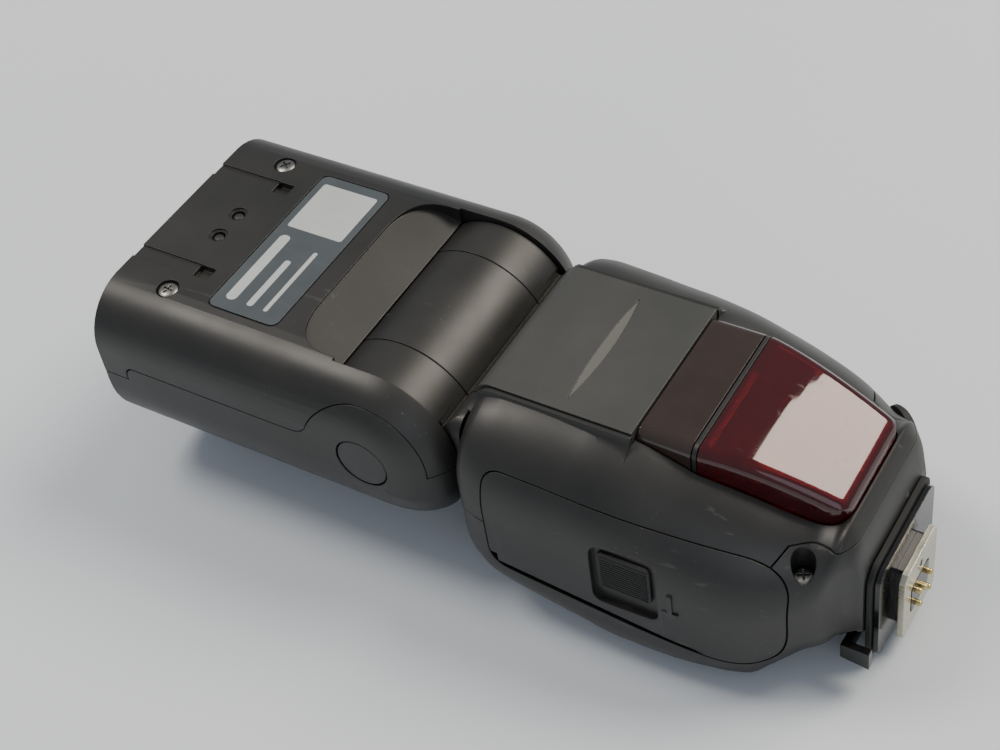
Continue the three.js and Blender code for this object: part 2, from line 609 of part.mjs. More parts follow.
// ---- foot ---------------------------------------------------------------------------------------------------
function footBase() {
  const bored = joined(
    disc("x", 0, FOOT_Z, 8.8, 84.5, 96.6, 32),
    prism("x", roundedRect(-15.5, 15.5, 2.4, 31.4, 3.5), 96.2, 97.4),
    prism("x", roundedRect(-6.6, 6.6, FOOT_Z - 9.2, FOOT_Z + 9.2, 1), 97.2, 98.95, 1),
    box(86.8, 90.3, -12.6, 12.6, 7.6, 13.6),
  );
  return mesh(
    "foot_base",
    cut(
      bored,
      box(95.4, 99, -5.3, 5.3, FOOT_Z - 6.3, FOOT_Z + 3.3),
      disc("x", 0, FOOT_Z + 6, 1.25, 92, 99, 14),
      disc("z", RELEASE.x, RELEASE.y, RELEASE.r + 0.35, 5, 11.6, 20),
    ),
    plastic(0x1d1d1f, 0.4),
  );
}

function footGasket() {
  const ring = prism("x", roundedRect(-16.6, 16.6, 2, 33, 4.5), 94.8, 95.9, 3);
  return mesh("foot_gasket", cut(ring, disc("x", 0, FOOT_Z, 9.2, 90, 99, 32)), DARK_RUBBER);
}

function footPlate() {
  const half = FOOT.width / 2;
  const [z0, z1] = [FOOT_Z - FOOT.depth / 2, FOOT_Z + FOOT.depth / 2];
  const outline = polygon([
    [-half, z0 + 0.6], [-half + 0.6, z0], [half - 0.6, z0], [half, z0 + 0.6],
    [half, z1 - 1.6], [half - 1.6, z1], [-half + 1.6, z1], [-half, z1 - 1.6],
  ]);
  const plate = prism("x", outline, FOOT.face - FOOT.thick, FOOT.face);
  const windowHole = prism("x", roundedRect(-5.2, 5.2, FOOT_Z - 6.2, FOOT_Z + 3.2, 1.5), 98, 102);
  return mesh("foot_plate", cut(plate, windowHole, disc("x", 0, FOOT_Z + 6, 1.25, 98, 102, 14)), STEEL);
}

const PIN_PLACES = [[0, -1.5], [-3, 0.6], [3, 0.6], [-2.6, -4.4], [2.6, -4.4]];

// Five contact pins moulded into one insulator, which fills the foot plate's window.
function contactPins() {
  const block = prism("x", roundedRect(-4.9, 4.9, FOOT_Z - 5.9, FOOT_Z + 2.9, 1.3), 95.8, FOOT.face + 0.1);
  const pins = PIN_PLACES.map(([y, z]) => disc("x", y, FOOT_Z + z, 0.62, FOOT.face, PIN_TIPS, 12));
  return mesh("contact_pins", joined(block, ...pins), metal(0xd6c07a, 0.3));
}

function lockingPin() {
  return mesh("locking_pin", disc("x", 0, 0, 0.9, 92.6, FOOT.face - 0.2, 14), STEEL, [0, 0, FOOT_Z + 6]);
}

// The lever turns round the foot's stem, and its tab shows beside the foot at the back.
function lockLever() {
  const hub = cut(disc("x", 0, 0, 12.6, 91, 93, 36), disc("x", 0, 0, 9.1, 90, 94, 32));
  const arm = box(91, 93, -21.4, -10.4, -6.6, -3.2);
  const tab = prism("y", polygon([[91, -7.2], [97.8, -8.2], [97.8, -2.9], [91, -2.9]]), -21.6, -19.8);
  return mesh("lock_lever", joined(hub, arm, tab), plastic(0x1a1a1b, 0.35), [0, 0, FOOT_Z]);
}

const RELEASE = { x: 88.5, y: 6, r: 1.4 };

function lockReleaseButton() {
  return mesh("lock_release_button", disc("z", 0, 0, RELEASE.r, 7.1, 9.8, 18), GREY_TRIM, [RELEASE.x, RELEASE.y, 0]);
}

// ---- neck ---------------------------------------------------------------------------------------------------
const SHAFT_R = 3;

const NECK_START = 27; // where the drum's surface turns into the block, in degrees above the tilt axis
const BLOCK = { edge: -1.3, top: 48.9 }; // the block's flat top starts here, clear of the head at full tilt

// The barrel's side profile: a round drum with a block under it that stands on the swivel disc.
function neckProfile() {
  const start = THREE.MathUtils.degToRad(NECK_START);
  const end = THREE.MathUtils.degToRad(304);
  const shape = new THREE.Shape();
  shape.moveTo(1, BLOCK.top);
  shape.lineTo(BLOCK.edge, BLOCK.top);
  shape.lineTo(TILT.x + BARREL_R * Math.cos(start), TILT.z + BARREL_R * Math.sin(start));
  shape.absarc(TILT.x, TILT.z, BARREL_R, start, end, false);
  shape.lineTo(1, TILT.z + BARREL_R * Math.sin(end));
  return shape;
}

// The block's upper corners are rounded like the end of the body they face.
function blockCorner(side) {
  const top = BLOCK.top;
  const from = TILT.x + BARREL_R * Math.cos(THREE.MathUtils.degToRad(NECK_START));
  const r = 5;
  const [inner, outer] = [BARREL_HALF - r, BARREL_HALF + 1].map((y) => y * side);
  const square = box(from, 2, Math.min(inner, outer), Math.max(inner, outer), top - r, top + 1);
  return square.subtract(disc("x", inner, top - r, r, from - 1, 3, 32));
}

function neckSlice(name, y0, y1) {
  const slice = prism("y", neckProfile(), y0, y1, 18);
  const bore = disc("y", TILT.x, TILT.z, SHAFT_R + GAP, -50, 50, 24);
  return mesh(name, cut(slice, bore, blockCorner(-1), blockCorner(1)), BLACK);
}

function swivelDisc() {
  const flange = disc("x", 0, SWIVEL_Z, 18, 1.3, 5.9, 40);
  const tube = disc("x", 0, SWIVEL_Z, 12, 5.7, 12.6, 36);
  return mesh("swivel_disc", cut(joined(flange, tube), disc("x", 0, SWIVEL_Z, 8, 0, 15, 32)), BLACK);
}

function swivelRetainer() {
  const ring = cut(disc("x", 0, SWIVEL_Z, 16.5, 8.8, 10.4, 36), disc("x", 0, SWIVEL_Z, 12.3, 8, 12, 36));
  return mesh("swivel_retainer", ring, STEEL);
}

function tiltShaft() {
  return mesh("tilt_shaft", disc("y", TILT.x, TILT.z, SHAFT_R, -33.6, 33.6, 24), STEEL);
}

// ---- head ---------------------------------------------------------------------------------------------------
const ARM_INSIDE = 28.4;
const HEAD_BACK = 11.5;
const RECESS = { x0: -44, x1: -30.9, edgeZ: 53.2 };
const UNDER_SCOOP_Z = 50.8;
const PAD_INSIDE = 35.2;
const ARM_PAD = { r: 15.6, x0: -90, z0: 25, z1: 40.3 };
const HEAD_PARTING = 36;

const HEAD_EDGE = { top: 14, bottom: 21, arm: 18 }; // radii of the head's long edges and of its arms' lower ends

// The head is a run of side views across the flash. Towards each side they shrink, which rounds the head's edges
// and carries the same rounding round the ends of the arms.
function headForm(inset) {
  const half = HALF_WIDTH - inset;
  const [top, bottom] = [HEAD_EDGE.top - inset, HEAD_EDGE.bottom - inset];
  const shrink = (y, r) => r - Math.sqrt(Math.max(0, r * r - Math.max(0, Math.abs(y) - (half - r)) ** 2));
  const steps = [0, 0.3, 0.55, 0.75, 0.9, 1].map((t) => half - bottom + bottom * t);
  const across = [...steps.toReversed().map((y) => -y), ...steps];
  const arc = [0, 0.2, 0.4, 0.6, 0.8, 1].map((t) => (t * Math.PI) / 2);
  const rings = across.map((y) => {
    const [fall, rise] = [shrink(y, top), shrink(y, bottom)];
    const end = TILT.r - inset - fall;
    const [low, high] = [HEAD_BACK + inset + rise, HEIGHT - inset - fall];
    const arm = { x: TILT.x + TILT.r - HEAD_EDGE.arm, z: HEAD_BACK + HEAD_EDGE.arm };
    const [wide, tall] = [TILT.x + end - arm.x, arm.z - low];
    return [
      [HEAD_FRONT + inset, y, low],
      ...arc.map((a) => [arm.x + wide * Math.sin(a), y, arm.z - tall * Math.cos(a)]),
      ...arc.map((a) => [TILT.x + end * Math.cos(a), y, TILT.z + end * Math.sin(a)]),
      [HEAD_FRONT + inset, y, high],
    ];
  });
  return loft(rings);
}

// Everything on the covers' side of the head's parting line, which steps up round the hinge disc.
function coverRegion(grow) {
  const slab = box(-120, 20, -60, 60, 0, HEAD_PARTING + grow);
  const pads = [[-60, -PAD_INSIDE], [PAD_INSIDE, 60]].map(([y0, y1]) =>
    joined(
      prism("y", roundedRect(ARM_PAD.x0 - grow, TILT.x, ARM_PAD.z0, ARM_PAD.z1 + grow, 3), y0, y1, 2),
      disc("y", TILT.x, TILT.z, ARM_PAD.r + grow, y0, y1, 40),
    ),
  );
  return joined(slab, ...pads);
}

const armInside = headForm(WALL);

function headWalls() {
  const hollow = cut(headForm(WALL), box(-40, 20, -60, 60, 0, 70), box(-46, 20, -60, 60, UNDER_SCOOP_Z, 70));
  const wall = headForm(0).subtract(hollow);
  const mouth = box(RECESS.x1, 5, -ARM_INSIDE, ARM_INSIDE, TILT.z, 70);
  const tail = box(-12, 5, -ARM_INSIDE, ARM_INSIDE, 5, TILT.z + 1);
  const drum = disc("y", TILT.x, TILT.z, BARREL_R + 0.4, -ARM_INSIDE, ARM_INSIDE, 44);
  const behind = box(-40.1, -12, -ARM_INSIDE, ARM_INSIDE, HEAD_BACK + WALL, UNDER_SCOOP_Z).subtract(
    disc("y", TILT.x, TILT.z, BARREL_R + 2.2, -60, 60, 44),
  );
  const armCores = [[-36, -30.6], [30.6, 36]].map(([y0, y1]) =>
    cut(box(-40.1, -14, y0, y1, 18, 52), disc("y", TILT.x, TILT.z, 9, -60, 60, 28)).intersect(armInside),
  );
  return cut(wall, mouth, tail, drum, behind, ...armCores);
}

function headCuts() {
  const scoopPlan = new THREE.Shape();
  scoopPlan.moveTo(RECESS.x1 + 3, -27.6);
  scoopPlan.lineTo(RECESS.x1 - 3, -27.6);
  scoopPlan.bezierCurveTo(RECESS.x0 + 1, -27, RECESS.x0, -21, RECESS.x0, -14);
  scoopPlan.lineTo(RECESS.x0, 14);
  scoopPlan.bezierCurveTo(RECESS.x0, 21, RECESS.x0 + 1, 27, RECESS.x1 - 3, 27.6);
  scoopPlan.lineTo(RECESS.x1 + 3, 27.6);
  const above = polygon([
    [RECESS.x0, HEIGHT - 0.5], [RECESS.x1, RECESS.edgeZ], [-20, RECESS.edgeZ - 3], [-20, 70], [RECESS.x0, 70],
  ]);
  const scoop = prism("z", scoopPlan, 40, 70, 8).intersect(prism("y", above, -40, 40));
  const clips = [-1, 1].flatMap((side) => [
    box(-100, -79, side * 16.7 - 2.1, side * 16.7 + 2.1, HEIGHT - 0.5, 70),
    box(-79.3, -74.4, side * 16.7 - 2, side * 16.7 + 2, HEIGHT - 1.7, 70),
    disc("z", SCREW_X, side * SCREW_Y, 2.9, HEIGHT - 1.4, 70, 24),
    disc("z", SCREW_X, side * SCREW_Y, 1.5, 45, 70, 12),
    disc("z", SCREW_X, side * SENSOR_Y, 1.75, 45, 70, 16),
  ]);
  return [
    scoop,
    ...clips,
    box(-69.9, -49.1, -25.7, 25.7, HEIGHT - 0.5, 70),
    prism("x", roundedRect(-33.3, 33.3, 19.7, 53.3, 3), -120, HEAD_FRONT + WALL + 1),
    box(-120, HEAD_FRONT + WALL + 1, -25.4, 25.4, 13.9, 17.3),
    disc("y", TILT.x, TILT.z, SHAFT_R + GAP, -34.2, 34.2, 24),
    disc("y", TILT.x, TILT.z, BUTTON_R + 0.35, -45, -34.8, 32),
    disc("y", TILT.x, TILT.z, BUTTON_R + 0.35, 34.8, 45, 32),
  ];
}

const SCREW_X = -81.8;
const SCREW_Y = 24.9;
const SENSOR_Y = 4.2;
const BUTTON_R = 6.7;

function headShells() {
  const bosses = [-1, 1].map((side) => disc("z", SCREW_X, side * SCREW_Y, 4, 52, HEIGHT - 1, 20));
  const walls = cut(joined(headWalls(), ...bosses), ...headCuts());
  const labelSide = walls.subtract(coverRegion(GAP));
  return [mesh("head_label_shell", labelSide, BLACK), mesh("head_cover_shell", walls.intersect(coverRegion(0)), BLACK)];
}

function ratingLabel() {
  const plate = prism("z", roundedRect(-69.5, -49.5, -25.3, 25.3, 2), HEIGHT - 0.35, HEIGHT + 0.05);
  return mesh("rating_label", plate, plastic(0x6c7176, 0.45));
}

function headScrews() {
  return [-1, 1].map((side, i) =>
    mesh(`head_screw_${i + 1}`, screw(2.5, 1.2, 1.2, 5.8), STEEL, [SCREW_X, side * SCREW_Y, HEIGHT - 0.1]),
  );
}

function filterPins() {
  return [-1, 1].map((side, i) => {
    const pin = joined(disc("z", 0, 0, 1.45, 0, 2.9, 16), disc("z", 0, 0, 2.4, -1.2, 0.1, 16));
    return mesh(`filter_sensor_pin_${i + 1}`, pin, BLACK, [SCREW_X, side * SENSOR_Y, HEIGHT - 3.4]);
  });
}

function flashLens() {
  const plate = prism("x", roundedRect(-33, 33, 20, 53, 2.8), LENS_FRONT, -95.6);
  return mesh("flash_lens", plate, plastic(0xdfe3e0, 0.15));
}

// A parabolic trough round the tube, with a nut below that runs on the zoom screw.
function reflector() {
  const depth = 20;
  const mouth = 13;
  const steps = 8;
  const curve = (offset) =>
    Array.from({ length: 2 * steps + 1 }, (_, i) => {
      const t = i / steps - 1;
      return [depth - depth * t * t + offset, t * (mouth + offset)];
    });
  const outline = polygon([...curve(0), ...curve(1.3).toReversed()]);
  const trough = prism("y", outline, -26, 26);
  const ends = [-26, 24.8].map((y) => prism("y", polygon(curve(0.6)), y, y + 1.2));
  const nut = cut(box(8, 15, -4, 4, -17.2, -9.6), disc("x", 0, ZOOM_SCREW.z - TUBE_Z, 1.9, 0, 30, 16));
  const tubeHole = disc("y", depth - 6.5, 0, 3.6, -40, 40, 20);
  const body = cut(joined(trough, ...ends, nut), tubeHole);
  return mesh("reflector", body, metal(0xdddddd, 0.15), [REFLECTOR_X, 0, TUBE_Z]);
}

const REFLECTOR_X = -93.6;
const TUBE_Z = 36.5;
const ZOOM_SCREW = { z: 20.2, x0: -92.6, x1: -46 };

function flashTube() {
  const tube = joined(disc("y", 0, 0, 2.6, -29, 29, 20), disc("y", 0, 0, 3.1, -30.5, -28, 16), disc("y", 0, 0, 3.1, 28, 30.5, 16));
  return mesh("flash_tube", tube, plastic(0xeef2ee, 0.05), [REFLECTOR_X + 13.5, 0, TUBE_Z]);
}

function zoomScrew() {
  const rod = disc("x", 0, 0, 1.5, ZOOM_SCREW.x0, ZOOM_SCREW.x1 - 6, 14);
  const rotor = disc("x", 0, 0, 2.9, ZOOM_SCREW.x1 - 7, ZOOM_SCREW.x1, 20);
  return mesh("zoom_screw", joined(rod, rotor), STEEL, [0, 0, ZOOM_SCREW.z]);
}

function slidingPanels() {
  const wide = prism("z", roundedRect(-96.9, -52, -25, 25, 2), 15.9, 17);
  const lip = box(-97.2, -96.4, -8, 8, 15.9, 17);
  const catchlight = prism("z", roundedRect(-96.9, -56, -22, 22, 2), 14.5, 15.3);
  return [
    mesh("wide_panel", joined(wide, lip), plastic(0xd9dddc, 0.2)),
    mesh("catchlight_panel", catchlight, WHITE),
  ];
}

function tiltLockButton() {
  const body = disc("y", 0, 0, BUTTON_R, -38.9, -36.6, 36).add(disc("y", 0, 0, 4.4, -36.8, -36.2, 24));
  return mesh("tilt_lock_button", body, BLACK, [TILT.x, 0, TILT.z]);
}

function pivotCap() {
  return mesh("pivot_cap", disc("y", 0, 0, BUTTON_R, 35.2, 38.9, 36), BLACK, [TILT.x, 0, TILT.z]);
}

// ---- assembly -----------------------------------------------------------------------------------------------
const body = group(
  mesh("body_front_shell", bodyFrontShell(), BLACK),
  mesh("body_rear_shell", bodyRearShell(), BLACK),
  frontTrimPanel(),
  mesh("sensor_window", windowCover(WINDOW_START, DIVIDER.x0 - 0.3), SMOKE),
  mesh("af_assist_window", windowCover(DIVIDER.x1 + 0.3, WINDOW_END), RED),
  lampLens("af_lamp_near", -8.4),
  lampLens("af_lamp_far", 8.4),
  batteryBox(),
  batteryContacts(),
  CELL.y.flatMap((y, i) => CELL.z.map((z, j) => batteryCell(2 * i + j + 1, y, z, j === 0))),
  mainCapacitor(),
  mainBoard(),
  controlBoard(),
  displayWindow(),
  socketCap(),
  shellScrew(),
  batteryDoor(),
  doorLatch(),
);
const controls = group(BUTTONS.map(button), selectDial(), setButton(), powerSwitch());
const foot = group(
  footBase(),
  footGasket(),
  footPlate(),
  contactPins(),
  lockingPin(),
  lockLever(),
  lockReleaseButton(),
);
const neck = group(
  neckSlice("neck_core", -BARREL_SEAM + 0.15, BARREL_SEAM - 0.15),
  neckSlice("neck_cover_near", -BARREL_HALF, -BARREL_SEAM - 0.15),
  neckSlice("neck_cover_far", BARREL_SEAM + 0.15, BARREL_HALF),
  swivelDisc(),
  swivelRetainer(),
  tiltShaft(),
);
const head = group(
  headShells(),
  ratingLabel(),
  headScrews(),
  filterPins(),
  flashLens(),
  reflector(),
  flashTube(),
  zoomScrew(),
  slidingPanels(),
  tiltLockButton(),
  pivotCap(),
);

// The frame's origin is on the resting surface, under the middle of the whole length.
const speedlight = group(body, controls, foot, neck, head);
speedlight.position.x = -(LENS_FRONT + PIN_TIPS) / 2;

export default group(speedlight);
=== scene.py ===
"""Looks for a camera speedlight that lies on its back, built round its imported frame. Metres inside Blender.

The pieces are worked out in millimetres in the maker's own frame: X along the flash towards its foot, Y across it,
Z out of the front of the body. place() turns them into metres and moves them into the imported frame."""

import math

import bpy
import numpy as np
from mathutils import Matrix, Vector


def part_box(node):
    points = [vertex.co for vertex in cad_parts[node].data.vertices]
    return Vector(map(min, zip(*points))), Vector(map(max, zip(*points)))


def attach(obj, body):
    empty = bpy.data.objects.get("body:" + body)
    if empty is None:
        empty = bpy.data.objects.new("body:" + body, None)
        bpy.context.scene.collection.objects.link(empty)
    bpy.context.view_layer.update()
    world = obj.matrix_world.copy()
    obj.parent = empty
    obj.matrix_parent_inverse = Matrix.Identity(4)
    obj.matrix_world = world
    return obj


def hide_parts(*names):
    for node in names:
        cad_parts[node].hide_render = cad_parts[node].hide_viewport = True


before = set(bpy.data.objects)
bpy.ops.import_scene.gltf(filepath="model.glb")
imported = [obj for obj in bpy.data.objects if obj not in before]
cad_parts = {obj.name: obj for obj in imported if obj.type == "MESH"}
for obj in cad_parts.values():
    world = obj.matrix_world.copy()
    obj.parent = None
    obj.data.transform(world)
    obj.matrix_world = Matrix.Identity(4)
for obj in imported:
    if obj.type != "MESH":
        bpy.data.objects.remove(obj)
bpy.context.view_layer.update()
MM = 0.001

# ---- the maker's frame and its driving sizes, in mm ----
LENS_X, FOOT_X = -98.5, 100.7
SHIFT_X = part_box("foot_plate")[1][0] / MM - FOOT_X
FLAT = 58.0
TILT = (-20.0, 37.7)
ARM_END_R = 20.3
SWIVEL_Z = 33.0
WALL = 2.2
BARREL_R = 18.6
BARREL_ARC = (27, 304)
BLOCK_EDGE, BLOCK_TOP = -1.3, 48.9
HALF_WIDTH = 39.0
FOOT_Z = 14.8
WINDOW_X = (42.9, 89.4)
WINDOW_BREAK, WINDOW_FALL, WINDOW_NARROWING = 57, 9.2, 5.2
CROWN_R, CROWN_ROLL = 3, 2.5
FILTER_WALL = 1.8
DIVIDER_X = (55.9, 56.9)
DOOR_X = (12.4, 82.2)
DOOR_SLOPE = 0.62
DOOR_AXIS, DOOR_AXIS_LEAN = (16, -37.5, 20.75), 0.1116
PARTING_Z = 33.0
SEAM_X = 92.8
TRIM_END, TRIM_ROLL, TRIM_HALF = 2.6, 4.5, 20.8
HEAD_SCREW = (-81.8, 24.9)
SENSOR_PIN_Y, CLIP_Y = 4.2, 16.7
STATIONS = np.array([
    # x, half width, shoulder height and radius, back height and radius
    (3, 33, 52, 13.5, 14.5, 12),
    (4.5, 35.6, 55, 16, 11.8, 13),
    (7, 37.4, 56.4, 18, 9.2, 13.5),
    (12, 38.6, 57.2, 20.5, 6.9, 12.5),
    (22, 39, 57.6, 23, 4.6, 12.5),
    (32, 39, 57.4, 24, 2.6, 12.5),
    (44, 39, 55.8, 24, 0, 13),
    (56, 38.6, 52, 23, 0, 12.5),
    (68, 37.2, 48.4, 22.5, 0, 13),
    (74, 35.4, 46.4, 21.2, 0, 13),
    (78, 33.2, 45, 19.5, 2.2, 14),
    (84, 29, 43.8, 16.8, 7, 12.5),
    (87.5, 26, 44.4, 14, 9, 10),
    (89.8, 22.6, 45.4, 9.5, 10.8, 8),
    (91.4, 20.6, 43.6, 7, 11.6, 5),
    (92.9, 19, 41, 5, 12, 4),
    (94.5, 17.8, 33.5, 4, 12.2, 3),
])


# ---- turning arrays into meshes ----
def raw_mesh(name, points, faces):
    """A mesh object from an (n, 3) array of mm and a list of index loops, kept in mm until it is placed."""
    mesh = bpy.data.meshes.new(name)
    mesh.from_pydata(np.asarray(points, dtype=float), [], [list(f) for f in faces])
    mesh.validate()
    obj = bpy.data.objects.new(name, mesh)
    bpy.context.collection.objects.link(obj)
    return obj


def grid_faces(rows, cols):
    """Quads between neighbouring points of a rows by cols grid that closes on itself along its columns."""
    i, j = np.meshgrid(np.arange(rows - 1), np.arange(cols), indexing="ij")
    k = (j + 1) % cols
    quads = np.stack([i * cols + j, i * cols + k, (i + 1) * cols + k, (i + 1) * cols + j], axis=-1)
    return quads.reshape(-1, 4)


def loft(rings):
    """A closed body through rings of points, shape (rings, points, 3), with one flat cap at each end."""
    rings = np.asarray(rings, dtype=float)
    rows, cols = rings.shape[:2]
    first, last = list(range(cols))[::-1], list(range((rows - 1) * cols, rows * cols))
    faces = [*grid_faces(rows, cols).tolist(), first, last]
    obj = raw_mesh("loft", rings.reshape(-1, 3), faces)
    return face_out(obj)


def face_out(obj):
    """Turns a closed body's faces outwards when its signed volume is negative."""
    mesh = obj.data
    mesh.calc_loop_triangles()
    points = np.empty(len(mesh.vertices) * 3)
    mesh.vertices.foreach_get("co", points)
    tris = np.empty(len(mesh.loop_triangles) * 3, dtype=int)
    mesh.loop_triangles.foreach_get("vertices", tris)
    a, b, c = points.reshape(-1, 3)[tris].reshape(-1, 3, 3).transpose(1, 0, 2)
    if np.einsum("ij,ij->i", a, np.cross(b, c)).sum() < 0:
        mesh.flip_normals()
    return obj


def prism(along, outline, low, high):
    """A flat outline carried straight along one axis. Its two numbers are the other axes, in X, Y, Z order."""
    outline = np.asarray(outline, dtype=float)
    order = {"x": (2, 0, 1), "y": (0, 2, 1), "z": (0, 1, 2)}[along]
    ends = [np.column_stack([outline, np.full(len(outline), at)])[:, order] for at in (low, high)]
    return loft(ends)


def lathe(along, centre, profile, steps=64):
    """A profile of (distance along the axis, radius) turned round an axis through centre, with flat ends."""
    profile = np.asarray(profile, dtype=float)
    angle = np.linspace(0, 2 * np.pi, steps, endpoint=False)
    d, r = profile[:, 0, None], np.maximum(profile[:, 1, None], 1e-4)
    across = np.stack([r * np.cos(angle), r * np.sin(angle)], axis=-1)
    order = {"x": (2, 0, 1), "y": (0, 2, 1), "z": (0, 1, 2)}[along]
    rings = np.concatenate([across, np.broadcast_to(d[..., None], (*across.shape[:2], 1))], axis=-1)[..., order]
    return loft(rings + np.asarray(centre, dtype=float))


def disc(along, centre, radius, low, high, edge=0.0, steps=64):
    """A round disc or rod with its two rims rounded to the radius edge."""
    turn = np.linspace(0, np.pi / 2, 5)
    if edge:
        rise = [(low + edge - edge * np.cos(t), radius - edge + edge * np.sin(t)) for t in turn]
        fall = [(high - edge + edge * np.sin(t), radius - edge + edge * np.cos(t)) for t in turn]
    else:
        rise, fall = [(low, radius)], [(high, radius)]
    return lathe(along, centre, rise + fall, steps)


def box(x0, x1, y0, y1, z0, z1):
    """A plain block between six planes, used as a cutter and for small flat pieces."""
    return prism("z", [(x0, y0), (x1, y0), (x1, y1), (x0, y1)], z0, z1)


def arc(a, b, r, start, end, steps=12):
    """Points on a circle about (a, b) from one angle to another, in degrees."""
    t = np.radians(np.linspace(start, end, steps + 1))
    return np.column_stack([a + r * np.cos(t), b + r * np.sin(t)])


def rounded(a0, a1, b0, b1, r, steps=10):
    """The outline of a rectangle with four equal round corners."""
    corners = [(a1 - r, b0 + r, -90), (a1 - r, b1 - r, 0), (a0 + r, b1 - r, 90), (a0 + r, b0 + r, 180)]
    return np.vstack([arc(a, b, r, start, start + 90, steps) for a, b, start in corners])


def bend(start, control, end, steps=12):
    """A quadratic curve from start to end that leans towards control."""
    t = np.linspace(0, 1, steps + 1)[:, None]
    start, control, end = (np.asarray(p, dtype=float) for p in (start, control, end))
    return (1 - t) ** 2 * start + 2 * t * (1 - t) * control + t**2 * end


def combine(obj, others, how):
    """Joins, cuts or intersects closed bodies with the boolean modifier, and uses the others up."""
    for other in others:
        tool = obj.modifiers.new(how, "BOOLEAN")
        tool.operation = how
        tool.solver = "MANIFOLD"
        tool.object = other
        graph = bpy.context.evaluated_depsgraph_get()
        mesh = bpy.data.meshes.new_from_object(obj.evaluated_get(graph))
        obj.modifiers.clear()
        obj.data = mesh
        bpy.data.objects.remove(other)
    return obj


def cut(obj, *others):
    return combine(obj, others, "DIFFERENCE")


def join(obj, *others):
    return combine(obj, others, "UNION")


def keep(obj, *others):
    return combine(obj, others, "INTERSECT")


def copy(obj):
    """A second body with a mesh of its own."""
    twin = obj.copy()
    twin.data = obj.data.copy()
    bpy.context.collection.objects.link(twin)
    return twin


def moved(obj, matrix):
    """Carries a body's points by a matrix."""
    obj.data.transform(matrix)
    if matrix.to_3x3().determinant() < 0:
        obj.data.flip_normals()
    return obj


def place(obj, name, body, material, slot, *nodes, smooth=32):
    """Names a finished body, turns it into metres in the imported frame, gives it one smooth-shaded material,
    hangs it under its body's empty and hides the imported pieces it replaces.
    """
    obj.name = obj.data.name = name
    obj.data.transform(Matrix.Scale(MM, 4) @ Matrix.Translation((SHIFT_X, 0, 0)))
    obj.data.materials.clear()
    obj.data.materials.append(material)
    obj.data.polygons.foreach_set("material_index", np.zeros(len(obj.data.polygons), dtype=np.int32))
    obj.data.polygons.foreach_set("use_smooth", np.ones(len(obj.data.polygons), dtype=bool))
    obj.data.set_sharp_from_angle(angle=math.radians(smooth))
    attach(obj, body)
    if nodes:
        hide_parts(*nodes)
    return obj


# ---- materials ----
def colour(hex_value):
    """An sRGB hex colour as linear red, green, blue and alpha."""
    channels = np.array([int(hex_value[i:i + 2], 16) for i in (1, 3, 5)]) / 255
    linear = np.where(channels <= 0.04045, channels / 12.92, ((channels + 0.055) / 1.055) ** 2.4)
    return (*linear.tolist(), 1.0)


def add(tree, kind, settings=None, **links):
    """Adds a node, gives its settings, and links each named input from (node, output) or sets it to a value."""
    node = tree.nodes.new(kind)
    for key, value in (settings or {}).items():
        setattr(node, key, value)
    for key, value in links.items():
        key = int(key[1:]) if key[0] == "n" and key[1:].isdigit() else key.replace("_", " ")
        if isinstance(value, tuple) and hasattr(value[0], "outputs"):
            tree.links.new(value[0].outputs[value[1]], node.inputs[key])
        else:
            node.inputs[key].default_value = value
    return node


def new_material(name, **sockets):
    """A material with a Principled surface whose constant sockets are set directly."""
    material = bpy.data.materials.new(name)
    material.use_nodes = True
    tree = material.node_tree
    surface = tree.nodes["Principled BSDF"]
    for key, value in sockets.items():
        surface.inputs[key.replace("_", " ")].default_value = value
    return material, tree, surface


def ramp(tree, source, stops):
    """A colour ramp over a value, from (position, hex) stops."""
    node = add(tree, "ShaderNodeValToRGB", n0=source)
    elements = node.color_ramp.elements
    while len(elements) < len(stops):
        elements.new(0.5)
    for element, (position, value) in zip(elements, stops):
        element.position = position
        element.color = colour(value)
    return node


def span(tree, source, low, high, to_low, to_high):
    """Maps one range of a value onto another, clamped."""
    return add(tree, "ShaderNodeMapRange", n0=source, n1=low, n2=high, n3=to_low, n4=to_high)


